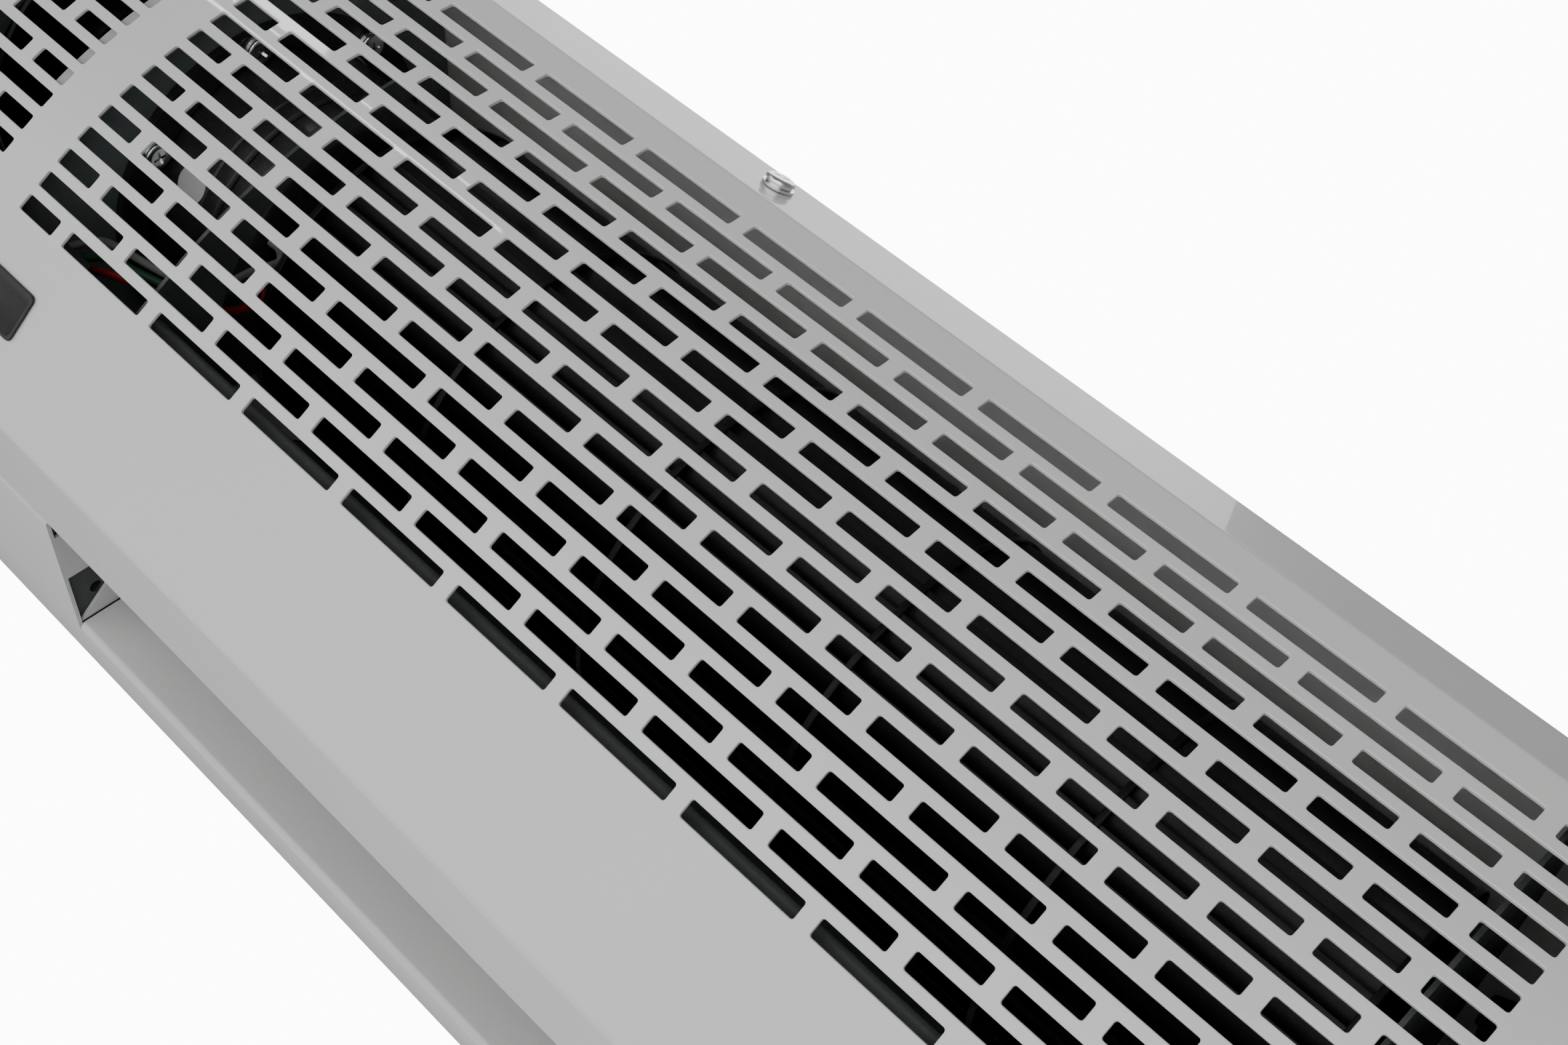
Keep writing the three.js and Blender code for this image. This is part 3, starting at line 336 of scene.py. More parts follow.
def make_finishes(shades):
    black = tuple(shades.black)
    return {
        "white_paint": powder_coat("powder_coat", tuple(shades.paint)),
        # The band strip's finish is the case's powder coat at about half its brightness: painted shade standing in for
        # the shadow inside the slots.
        "painted_shade_sheet": powder_coat("painted_shade_sheet", tuple(c * 0.52 for c in shades.paint)),
        "grey_paint": coated_sheet("coated_sheet", tuple(shades.grey)),
        "bulkhead_grey": coated_sheet("bulkhead_grey", tuple(c * 2.6 for c in shades.grey)),
        "black_paint": black_enamel("black_enamel", black),
        # The wheels' finish is the black enamel at a quarter of its colour and with less shine. The wheels are really
        # black, and the extra darkening is painted shade for the dim inside of the case.
        "wheel_black": black_enamel("wheel_black", tuple(c * 0.25 for c in black), 0.22),
        "black_plastic": moulded_plastic("black_plastic", tuple(c * 1.3 for c in black), 0.42),
        "chrome": plated_metal("bright_plating", (0.83, 0.84, 0.85), 0.1),
        "zinc": plated_metal("zinc_plating", tuple(shades.plating), 0.32),
        "steel": plated_metal("ground_steel", (0.56, 0.57, 0.58), 0.22, 900, (12, 1, 1)),
        "bronze": plated_metal("sintered_bronze", (0.45, 0.29, 0.12), 0.4, 1600),
        "rubber": soft_rubber("bearing_rubber", (0.016, 0.016, 0.016)),
        "dark_insulator": moulded_plastic("dark_insulator", (0.03, 0.031, 0.033), 0.42),
        "red_lead": wire_sleeve("red_sleeve", (0.2, 0.008, 0.008)),
        "white_lead": wire_sleeve("white_sleeve", (0.13, 0.13, 0.127)),
        "green_lead": wire_sleeve("green_sleeve", (0.008, 0.055, 0.024)),
    }


FINISHES = {}


# ------------------------------------------------------------------ meshes


def piece(name, vertices, faces, slot, body, nodes=(), smooth=38, edge=0.0, finish=None):
    """A piece from points of the section, riding on a body and standing for the named CAD nodes."""
    mesh = bpy.data.meshes.new(name)
    mesh.from_pydata([world(*v) for v in vertices], [], faces)
    work = bmesh.new()
    work.from_mesh(mesh)
    bmesh.ops.remove_doubles(work, verts=work.verts, dist=1e-6)
    bmesh.ops.recalc_face_normals(work, faces=work.faces)
    work.to_mesh(mesh)
    work.free()
    return dress(name, mesh, slot, body, nodes, smooth, edge, finish=finish)


def dress(name, mesh, slot, body, nodes=(), smooth=38, edge=0.0, normals=None, finish=None):
    """Puts a mesh in the scene with its finish, body and CAD nodes, and shades it smooth up to an angle.

    The finish is its slot's own unless another is named."""
    mesh.shade_smooth()
    if normals:
        mesh.normals_split_custom_set(normals)
    else:
        mesh.set_sharp_from_angle(angle=math.radians(smooth))
    made = bpy.data.objects.new(name, mesh)
    bpy.context.scene.collection.objects.link(made)
    mesh.materials.append(FINISHES[finish or slot])
    if edge:
        soften_edges(made, edge, 2)
    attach(made, body)
    if nodes:
        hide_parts(*nodes)
    return made


def soften_edges(thing, width, segments):
    soften = thing.modifiers.new("soft_edges", "BEVEL")
    soften.width = width / 1000
    soften.segments = segments
    soften.limit_method = "ANGLE"
    soften.angle_limit = math.radians(36)
    soften.harden_normals = True


class Section:
    """The outer face of a folded sheet: straight panels joined by arcs, measured along the face.

    The outside lies to the left of the path. A corner whose radius is None is as round as its panels allow.
    before and after hold where each sharp corner would lie, measured on from the panel before or after it."""

    def __init__(self, corners, radii):
        self.parts = []
        self.before = [0.0]
        self.after = [0.0]
        place, mark = corners[0], 0.0
        headings = [math.atan2(b[1] - a[1], b[0] - a[0]) for a, b in zip(corners, corners[1:])]
        for i, heading in enumerate(headings):
            last = i == len(headings) - 1
            turn = 0.0 if last else (headings[i + 1] - heading + math.pi) % math.tau - math.pi
            trim = 0.0
            if abs(turn) > 1e-5:
                panel = min(math.dist(corners[i], corners[i + 1]), math.dist(corners[i + 1], corners[i + 2]))
                radius = radii[i + 1]
                trim = panel / 2 if radius is None else radius * math.tan(abs(turn) / 2)
            straight = math.dist(place, corners[i + 1]) - trim
            self.parts.append((mark, place, heading, 0.0))
            mark += straight
            place = (place[0] + straight * math.cos(heading), place[1] + straight * math.sin(heading))
            self.before.append(mark + trim)
            if trim:
                round_length = trim / math.tan(abs(turn) / 2) * abs(turn)
                self.parts.append((mark, place, heading, turn / round_length))
                mark += round_length
                place = self.at(mark)
            self.after.append(mark - trim)
        self.length = mark

    def _part(self, along):
        return next((part for part in reversed(self.parts) if along >= part[0]), self.parts[0])

    def facing(self, along):
        """The outward direction at a distance along the face."""
        mark, _, heading, bend = self._part(along)
        heading += bend * (along - mark)
        return (-math.sin(heading), math.cos(heading))

    def at(self, along, depth=0.0):
        """The point at a distance along the face and a depth below it."""
        mark, (y, z), heading, bend = self._part(along)
        out = self.facing(along)
        if bend:
            y += (-math.sin(heading) - out[0]) / bend
            z += (math.cos(heading) - out[1]) / bend
        else:
            y += math.cos(heading) * (along - mark)
            z += math.sin(heading) * (along - mark)
        return (y - out[0] * depth, z - out[1] * depth)

    def stations(self, degrees=9, widest=40.0):
        """Distances along the face that its folds need. An arc wider than the widest keeps only its ends."""
        found = {0.0, self.length}
        ends = [part[0] for part in self.parts[1:]] + [self.length]
        for (mark, _, _, bend), end in zip(self.parts, ends):
            steps = 1
            if abs(bend) > 1 / widest:
                steps = max(1, round(math.degrees(abs(bend) * (end - mark)) / degrees))
            found.update(mark + (end - mark) * i / steps for i in range(steps))
        return sorted(found)


def punched(name, outline, holes, lines, place, facing, thickness, lip, **dressing):
    """A sheet laid out flat, with holes whose edges are rounded by a lip, and put in place by functions.

    outline is a loop, and each hole gives its loop enlarged by a growth. place turns a flat point and a depth
    into a point of the section, and facing turns a flat point into the outward direction there."""
    loops = [outline] + [hole(lip) for hole in holes]
    flat, rings, edges = [], [], []
    for loop in loops:
        ring = list(range(len(flat), len(flat) + len(loop)))
        flat += loop
        rings.append(ring)
        edges += zip(ring, ring[1:] + ring[:1])
    for line in lines:
        ring = list(range(len(flat), len(flat) + len(line)))
        flat += line
        edges += zip(ring, ring[1:])
    found = delaunay_2d_cdt([Vector(p) for p in flat], edges, rings, 0, 1e-6)
    points, triangles, origin, sources = found[0], found[2], found[3], found[5]
    index = {original: i for i, originals in enumerate(origin) for original in originals}
    kept = [tuple(tri) for tri, source in zip(triangles, sources) if list(source) == [0]]

    out = [Vector(facing(*p)) for p in points]
    vertices = [place(*p, 0.0) for p in points] + [place(*p, thickness) for p in points]
    count = len(points)
    faces, normals = [], []

    def add(corners, directions):
        faces.append(corners)
        normals.extend(directions)

    for tri in kept:
        add(tri, [out[i] for i in tri])
        add([i + count for i in reversed(tri)], [-out[i] for i in reversed(tri)])

    # Each step down a hole's edge: growth, depth, and how far its normal leans out of the sheet or into the hole.
    half_turn = math.sqrt(0.5)
    steps = (
        (lip * 0.29, lip * 0.29, half_turn, half_turn),
        (0.0, lip, 0.0, 1.0),
        (0.0, thickness - lip * 0.7, 0.0, 1.0),
        (lip * 0.4, thickness - lip * 0.2, -half_turn, half_turn),
    )
    rims = set()
    for hole, ring in zip(holes, rings[1:]):
        upper = [index[i] for i in ring]
        size = len(ring)
        rims.update((upper[i], upper[(i + 1) % size]) for i in range(size))
        rims.update((upper[(i + 1) % size], upper[i]) for i in range(size))
        into = [
            (Vector(place(*a, 0.0)) - Vector(place(*b, 0.0))).normalized() for a, b in zip(hole(0.0), hole(0.05))
        ]
        levels = [(upper, [out[i] for i in upper])]
        for growth, depth, rise, lean in steps if lip else ():
            level = range(len(vertices), len(vertices) + size)
            vertices += [place(*p, depth) for p in hole(growth)]
            levels.append((level, [out[i] * rise + d * lean for i, d in zip(upper, into)]))
        levels.append(([i + count for i in upper], [-out[i] for i in upper]))
        for (top, top_normals), (low, low_normals) in zip(levels, levels[1:]):
            for i in range(size):
                n = (i + 1) % size
                add((top[i], top[n], low[n], low[i]), (top_normals[i], top_normals[n], low_normals[n], low_normals[i]))

    used = {(tri[i], tri[(i + 1) % 3]) for tri in kept for i in range(3)}
    for a, b in used:
        if (b, a) not in used and (a, b) not in rims:
            along = (Vector(vertices[b]) - Vector(vertices[a])).normalized()
            add((b, a, a + count, b + count), [along.cross(out[a])] * 4)
    mesh = bpy.data.meshes.new(name)
    mesh.from_pydata([world(*v) for v in vertices], [], faces)
    return dress(name, mesh, normals=normals, **dressing)


def rounded_rectangle(centre, half, radius, steps=3):
    """A hole that gives its loop, counter-clockwise, enlarged by a growth."""

    def loop(growth=0.0):
        r = radius + growth
        points = []
        for quarter, (sx, sy) in enumerate(((1, 1), (-1, 1), (-1, -1), (1, -1))):
            cx = centre[0] + sx * (half[0] + growth - r)
            cy = centre[1] + sy * (half[1] + growth - r)
            for i in range(steps + 1):
                angle = math.pi / 2 * (quarter + i / steps)
                points.append((cx + r * math.cos(angle), cy + r * math.sin(angle)))
        return points

    return loop


def round_hole(centre, radius, sides=32):
    """A round hole that gives its loop, counter-clockwise, enlarged by a growth."""

    def loop(growth=0.0):
        reach = radius + growth
        turns = (math.tau * i / sides for i in range(sides))
        return [(centre[0] + reach * math.cos(t), centre[1] + reach * math.sin(t)) for t in turns]

    return loop


def folded(name, section, thickness, x_stations, keep=None, **dressing):
    """A sheet with rounded folds, swept along x, without the cells that keep turns down."""
    ups = section.stations()
    if keep:
        ups = sorted(set(ups) | set(keep.lines))
    xs = sorted(x_stations)
    vertices, faces = [], []
    for depth in (0.0, thickness):
        for along in ups:
            y, z = section.at(along, depth)
            vertices += [(x, y, z) for x in xs]
    wide, tall = len(xs), len(ups)
    layer = wide * tall
    cells = {
        (i, j)
        for i in range(wide - 1)
        for j in range(tall - 1)
        if not keep or keep((xs[i] + xs[i + 1]) / 2, (ups[j] + ups[j + 1]) / 2)
    }
    for i, j in cells:
        a, b, c, d = j * wide + i, j * wide + i + 1, (j + 1) * wide + i + 1, (j + 1) * wide + i
        faces += [(a, b, c, d), (d + layer, c + layer, b + layer, a + layer)]
        for neighbour, p, q in (((i, j - 1), a, b), ((i + 1, j), b, c), ((i, j + 1), c, d), ((i - 1, j), d, a)):
            if neighbour not in cells:
                faces.append((p, p + layer, q + layer, q))
    return piece(name, vertices, faces, **dressing)


ON_AXIS = 1e-6


def is_closed(profile):
    """Whether a profile is a loop clear of the axis, and not a line from the axis back to it."""
    return profile[0][1] > ON_AXIS


def ring_faces(rings, closed=False):
    """Faces between rings of corners, and from the last ring back to the first where they are closed."""
    faces = []
    for a, b in zip(rings, rings[1:] + (rings[:1] if closed else [])):
        for k in range(len(a)):
            n = (k + 1) % len(a)
            corners = list(dict.fromkeys((a[k], a[n], b[n], b[k])))
            if len(corners) > 2:
                faces.append(corners)
    return faces


def turned(name, profile, segments, centre, slot, body, nodes=(), sign=1, soften=0.6):
    """A turned piece on a line along x. The profile is closed, or starts and ends on the axis."""
    vertices, rings = [], []
    for x, radius in fillet(profile, soften):
        start = len(vertices)
        if radius < ON_AXIS:
            vertices.append((sign * x, *centre))
            rings.append([start] * segments)
            continue
        for k in range(segments):
            angle = math.tau * k / segments
            vertices.append((sign * x, centre[0] + radius * math.cos(angle), centre[1] + radius * math.sin(angle)))
        rings.append(range(start, start + segments))
    return piece(name, vertices, ring_faces(rings, is_closed(profile)), slot, body, nodes)


def eased_corner(a, corner, b, steps):
    """Points on a smooth bend from a to b, drawn out towards a corner."""
    parts = (i / steps for i in range(steps + 1))
    return [a * (1 - t) ** 2 + corner * 2 * t * (1 - t) + b * t**2 for t in parts]


def fillet(profile, radius, steps=3):
    """The profile with its corners rounded. Points on the axis stay, and so do corners that hardly turn."""
    count = len(profile)
    points = []
    for i, point in enumerate(profile):
        corner = Vector(point)
        u = Vector(profile[i - 1]) - corner
        v = Vector(profile[(i + 1) % count]) - corner
        reach = min(radius, u.length * 0.45, v.length * 0.45)
        fixed = point[1] < ON_AXIS or (i in (0, count - 1) and not is_closed(profile))
        if fixed or reach < 0.02 or abs(u.normalized().dot(v.normalized())) > 0.995:
            points.append(point)
            continue
        bend = eased_corner(corner + u.normalized() * reach, corner, corner + v.normalized() * reach, steps)
        points += [tuple(p) for p in bend]
    return points


def settled(thing):
    """The mesh that an object comes to with its modifiers or bevel. The object itself is removed."""
    bpy.context.view_layer.update()
    mesh = bpy.data.meshes.new_from_object(thing.evaluated_get(bpy.context.evaluated_depsgraph_get()))
    bpy.data.objects.remove(thing)
    return mesh


# ------------------------------------------------------------------ the section's lines

TOP_FOLD = 168.0
TOP_TILT = math.radians(34)
TOP_FLANGE = 28.0
BOTTOM_FLANGE = 30.0
LOWER_TILT = math.radians(31.5)
CURVED_ROWS = 11
UPRIGHT_ROWS = 3
ROWS = 16
SHEET_GAP = 0.3


def curve_radius(sizes):
    return CURVED_ROWS * sizes.pitch / LOWER_TILT


def cover_corners(sizes):
    """Sharp corners of the cover's outer face: bottom flange, low fold, curve, top fold and top flange."""
    straight = sizes.first_row + (UPRIGHT_ROWS - 0.5) * sizes.pitch
    curve = (0.0, TOP_FOLD - straight - curve_radius(sizes) * math.tan(LOWER_TILT / 2))
    low_fold = (curve[1] * math.tan(LOWER_TILT), 0.0)
    back = (low_fold[0] + BOTTOM_FLANGE, 0.0)
    top = (TOP_FLANGE * math.sin(TOP_TILT), TOP_FOLD + TOP_FLANGE * math.cos(TOP_TILT))
    return [back, low_fold, curve, (0.0, TOP_FOLD), top]


def cover_section(sizes):
    return Section(cover_corners(sizes), [0, sizes.fold, curve_radius(sizes), sizes.fold, 0])


COVER_SCREWS = (-434, -156, 156, 434)
COVER_SCREW_UP = 14.5
COVER_SCREW_HOLE = 2.2


def slot_spans(sizes, row):
    pitch = sizes.slot_length + sizes.bar
    even = row % 2 == 0
    first = sizes.band / 2 + (0 if even else sizes.short_slot + sizes.bar)
    spans = [(first + i * pitch, first + i * pitch + sizes.slot_length) for i in range(sizes.slots)]
    short = sizes.band / 2 + (sizes.slots * pitch if even else 0)
    spans.append((short, short + sizes.short_slot))
    return spans + [(-b, -a) for a, b in spans]


def build_cover(sizes):
    """The slotted cover: one folded sheet with its folds, rows of slots and screw holes."""
    section = cover_section(sizes)
    top = section.before[3]
    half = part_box("front_cover")[1].x * 1000
    holes = []
    for row in range(ROWS):
        centre = top - sizes.first_row - row * sizes.pitch
        for a, b in slot_spans(sizes, row):
            reach = ((b - a) / 2, sizes.slot_height / 2)
            holes.append(rounded_rectangle(((a + b) / 2, centre), reach, sizes.corner))
    for x in COVER_SCREWS:
        holes.append(round_hole((x, section.after[3] + COVER_SCREW_UP), COVER_SCREW_HOLE, 24))
    ups = set(section.stations(8))
    ups.update(top - sizes.first_row - (row - 0.5) * sizes.pitch for row in range(ROWS + 1))
    lines = [[(-half, up), (half, up)] for up in sorted(ups) if 0.1 < up < section.length - 0.1]
    outline = [(-half, 0.0), (half, 0.0), (half, section.length), (-half, section.length)]

    def place(x, along, depth):
        return (x, *section.at(along, depth))

    def facing(x, along):
        return (0.0, *section.facing(along))

    punched(
        "slotted_cover", outline, holes, lines, place, facing, sizes.sheet, sizes.lip,
        slot="white_paint", body="case", nodes=["front_cover"],
    )


def flat_plate(name, outline, holes, x0, x1, lip=0.2, **dressing):
    """A plate across the unit, drawn in (y, z)."""

    def place(y, z, depth):
        return (x1 - depth, y, z)

    def facing(y, z):
        return (1.0, 0.0, 0.0)

    return punched(name, outline, holes, [], place, facing, x1 - x0, lip, **dressing)


def node_outline(name, x):
    """The outer loop of a CAD plate's face at an end of its thickness, as (y, z) points."""
    work = bmesh.new()
    work.from_mesh(frame["nodes"][name].data)
    bmesh.ops.remove_doubles(work, verts=work.verts, dist=1e-6)
    face_edges = {}
    for face in work.faces:
        if all(abs(v.co.x * 1000 - x) < 0.02 for v in face.verts):
            for edge in face.edges:
                face_edges[edge] = face_edges.get(edge, 0) + 1
    border = [edge for edge, uses in face_edges.items() if uses == 1]
    ahead = {}
    for edge in border:
        for a, b in (edge.verts, reversed(edge.verts)):
            ahead.setdefault(a, []).append(b)
    loops, seen = [], set()
    for start in list(ahead):
        if start in seen:
            continue
        loop, current, last = [], start, None
        while current not in seen:
            seen.add(current)
            loop.append(((current.co.y - FRONT) * 1000, (current.co.z - UNDERSIDE) * 1000))
            step = [v for v in ahead[current] if v is not last and v not in seen]
            last, current = current, step[0] if step else current
        loops.append(loop)
    work.free()
    return max(loops, key=lambda loop: abs(signed_area(loop)))


def signed_area(loop):
    return sum(a[0] * b[1] - b[0] * a[1] for a, b in zip(loop, loop[1:] + loop[:1])) / 2


def counter_clockwise(loop):
    return loop if signed_area(loop) > 0 else loop[::-1]


SCREW_HOLE = 2.2
MOTOR_BORE = 44.8
CUP_BORE = 15.2
FLANGE_CIRCLE = 49.5
FLANGE_SCREWS = [
    (AXIS[0] - FLANGE_CIRCLE * math.cos(turn), AXIS[1] + FLANGE_CIRCLE * math.sin(turn))
    for turn in map(math.radians, (-50, 0, 50, 130, 180, 230))
]
BRACKET_SCREW = (55.0, 28.5)
LOCATING_HOLE = (124.5, 8.8)
# An inner end plate's upper front corner is open above one height and before one depth, round the wheel's mouth.
MOUTH = 60.0
OPEN_ABOVE = 141.5
OPEN_BEFORE = 92.0


def open_cornered(outline):
    """An inner end plate's outline without its upper front corner, where it follows the wheel's mouth instead."""
    kept = [p for p in outline if p[0] > OPEN_BEFORE or p[1] < OPEN_ABOVE]
    first = next(i for i, p in enumerate(kept) if p[0] < OPEN_BEFORE and kept[i - 1][1] > OPEN_ABOVE)
    start = math.acos((OPEN_BEFORE - AXIS[0]) / MOUTH)
    end = -math.pi - math.asin((OPEN_ABOVE - AXIS[1]) / MOUTH)
    steps = 84
    turns = [start + (end - start) * i / steps for i in range(steps + 1)]
    mouth = [(AXIS[0] + MOUTH * math.cos(t), AXIS[1] + MOUTH * math.sin(t)) for t in turns]
    return kept[first:] + kept[:first] + [(OPEN_BEFORE, kept[first - 1][1]), *mouth, (kept[first][0], OPEN_ABOVE)]


def build_plates():
    """The plates that stand across the case, with clean round holes."""
    screw_holes = [(place, SCREW_HOLE, 16) for place in (*FLANGE_SCREWS, BRACKET_SCREW)]
    jobs = [("motor_bulkhead", [(AXIS, MOTOR_BORE, 64), *screw_holes], "bulkhead_grey")]
    for side, _ in SIDES:
        jobs.append((f"inner_end_plate_{side}", [(LOCATING_HOLE, 2.0, 24)], None))
        jobs.append((f"outer_end_plate_{side}", [(AXIS, CUP_BORE, 48)], None))
    for name, rounds, finish in jobs:
        low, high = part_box(name)
        outline = counter_clockwise(node_outline(name, high.x * 1000))
        if name.startswith("inner"):
            outline = open_cornered(outline)
        flat_plate(
            name.replace("_plate", "") + "_sheet", outline, [round_hole(*each) for each in rounds],
            low.x * 1000, high.x * 1000, slot="grey_paint", body="case", nodes=[name], finish=finish,
        )


CASE_SHEET = 1.2
CASE_DEPTH = 150.0
CASE_HEIGHT = 192.0
TOP_RETURN = 20.0
OUTLET = (61.0, 409.0)
OUTLET_BACK = 133.4
OUTLET_LIP = 16.0
LIP_ROOT = 2.4
TAB = (95.0, 113.0)
GUSSET = 12.5
EAR = (110, 126)
EAR_HEIGHT = 16
EAR_INSET = (0.6, 1.8)
EAR_LEVELS = (("low", 1.0, 10.0), ("high", CASE_HEIGHT - 17.0, CASE_HEIGHT - 10.0))


def side_span(sign, near, far):
    """The two faces of a plate along x, lowest first, from their distances to the middle."""
    return sorted((sign * near, sign * far))


def build_case():
    """The case: one sheet folded round the back, with the outlets' openings and their turned-up edges."""
    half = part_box("rear_case")[1].x * 1000
    up = (math.sin(TOP_TILT), math.cos(TOP_TILT))
    inset = CASE_SHEET + SHEET_GAP
    fold = (inset * up[1], TOP_FOLD - inset * up[0])
    corner = (fold[0] + (CASE_HEIGHT - fold[1]) * up[0] / up[1], CASE_HEIGHT)
    back = cover_corners(bpy.context.scene.cover_sizes)[0][0]
    corners = [
        (corner[0] - TOP_RETURN * up[0], corner[1] - TOP_RETURN * up[1]), corner,
        (CASE_DEPTH, CASE_HEIGHT), (CASE_DEPTH, 0.0),
        (back + 2.5, 0.0), (back + 1.0, inset), (back - 12.0, inset),
    ]
    section = Section(corners, [0, 1.8, 2.4, 2.4, 1.0, 1.0, 0])
    fold_line = section.after[3] + CASE_DEPTH - OUTLET_BACK - LIP_ROOT
    inner, outer = OUTLET

    def keep(x, along):
        return not (inner < abs(x) < outer and along > fold_line)

    keep.lines = [fold_line]
    painted = {"slot": "white_paint", "body": "case"}
    stations = [-half, half, *(sign * x for _, sign in SIDES for x in OUTLET)]
    folded("case_sheet", section, CASE_SHEET, stations, keep, nodes=["rear_case"], **painted)

    lip = Section([(OUTLET_BACK + LIP_ROOT, 0.0), (OUTLET_BACK, 0.0), (OUTLET_BACK, OUTLET_LIP)], [0, 2.2, 0])
    foot, crown, root = CASE_SHEET - 0.02, OUTLET_LIP, OUTLET_BACK - 0.1
    tab = [
        (TAB[0], foot), (TAB[1], foot), (TAB[1], crown - 1), (TAB[1] - 1, crown), (TAB[0] + 1, crown),
        (TAB[0], crown - 1),
    ]
    gusset = [(root, foot), (root, crown), (OUTLET_BACK - GUSSET, crown)]
    for side, sign in SIDES:
        ends = [sign * (inner + SHEET_GAP), sign * (outer - SHEET_GAP)]
        folded(f"outlet_lip_{side}", lip, CASE_SHEET, ends, **painted)
        flat_plate(f"outlet_tab_{side}", tab, [], *side_span(sign, inner - CASE_SHEET, inner), **painted)
        span = side_span(sign, inner - CASE_SHEET - 0.1, inner - 0.2)
        flat_plate(f"outlet_gusset_{side}", gusset, [], *span, **painted)
        span = side_span(sign, *(half - inset for inset in EAR_INSET))
        for level, low, hole in EAR_LEVELS:
            ear = [(EAR[0], low), (EAR[1], low), (EAR[1], low + EAR_HEIGHT), (EAR[0], low + EAR_HEIGHT)]
            holes = [round_hole((sum(EAR) / 2, hole), SCREW_HOLE, 16)]
            flat_plate(f"case_ear_{side}_{level}", ear, holes, *span, **painted)


GUIDE_SHEET = 1.2
TONGUE_INSET = 9.5
TONGUE_RIM = 46.0
SCROLL_NEAR = 56.0
SCROLL_STEPS = 14
SCROLL_SWEEP = 52


def build_guides():
    """The tongue plates beside the outlets and the spiral guides behind the wheels."""
    back, foot = (corner[0] for corner in cover_corners(bpy.context.scene.cover_sizes)[:2])
    inset = TONGUE_INSET / math.cos(LOWER_TILT)

    def ahead(z):
        return (foot - z * math.tan(LOWER_TILT) + inset, z)

    rim = ahead(TONGUE_RIM)
    tongue = Section(
        [
            (AXIS[0] + 2, AXIS[1] - 60.5), (AXIS[0] + 6, AXIS[1] - 62), (AXIS[0] + 8.5, AXIS[1] - 67),
            (back - 1, 1.5), ahead(1.5), rim, (rim[0] + 5, rim[1] + 1.5),
        ],
        [0, None, None, 2, 2, 1.6, 0],
    )
    wall = OUTLET_BACK + CASE_SHEET + SHEET_GAP
    far = wall - AXIS[0]
    spiral = [(wall, 3.5), (wall, AXIS[1])]
    for i in range(1, SCROLL_STEPS + 1):
        angle = math.radians(90 - SCROLL_SWEEP * i / SCROLL_STEPS)
        radius = far + (SCROLL_NEAR - far) * i / SCROLL_STEPS
        spiral.append((AXIS[0] + radius * math.sin(angle), AXIS[1] + radius * math.cos(angle)))
    spiral.append((spiral[-1][0] + 3, spiral[-1][1] + 9))
    scroll = Section(spiral, [None] * len(spiral))
    for side, _ in SIDES:
        low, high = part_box(f"tongue_plate_{side}")
        ends = [low.x * 1000, high.x * 1000]
        for name, section, node_name in (
            (f"tongue_{side}", tongue, f"tongue_plate_{side}"), (f"scroll_{side}", scroll, f"rear_guide_{side}"),
        ):
            folded(name, section, GUIDE_SHEET, ends, slot="grey_paint", body="case", nodes=[node_name])


STRIP_SHEET = 1.6
STRIP_ROWS = 11.5


def build_stiffener(sizes):
    """The strip behind the band between the grilles."""
    section = cover_section(sizes)
    low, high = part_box("band_stiffener")
    top = section.before[3]
    start, end = top - sizes.first_row - STRIP_ROWS * sizes.pitch, top - sizes.first_row / 2
    steps = 40
    vertices, faces = [], []
    for level in (0.0, STRIP_SHEET):
        for i in range(steps + 1):
            y, z = section.at(start + (end - start) * i / steps, sizes.sheet + SHEET_GAP + level)
            vertices += [(low.x * 1000, y, z), (high.x * 1000, y, z)]
    layer = 2 * (steps + 1)
    for i in range(0, 2 * steps, 2):
        a, b, c, d = i, i + 1, i + 3, i + 2
        faces += [(a, b, c, d), (d + layer, c + layer, b + layer, a + layer)]
        faces += [(b, b + layer, c + layer, c), (d, d + layer, a + layer, a)]
    for i in (0, 2 * steps):
        faces.append((i, i + layer, i + 1 + layer, i + 1))
    # The strip takes the half-bright copy of the white coat, which is painted shade for the shadow in the slots.
    piece("band_strip", vertices, faces, "white_paint", "case", ["band_stiffener"], edge=0.2, finish="painted_shade_sheet")


BADGE_SLANT = 2.3


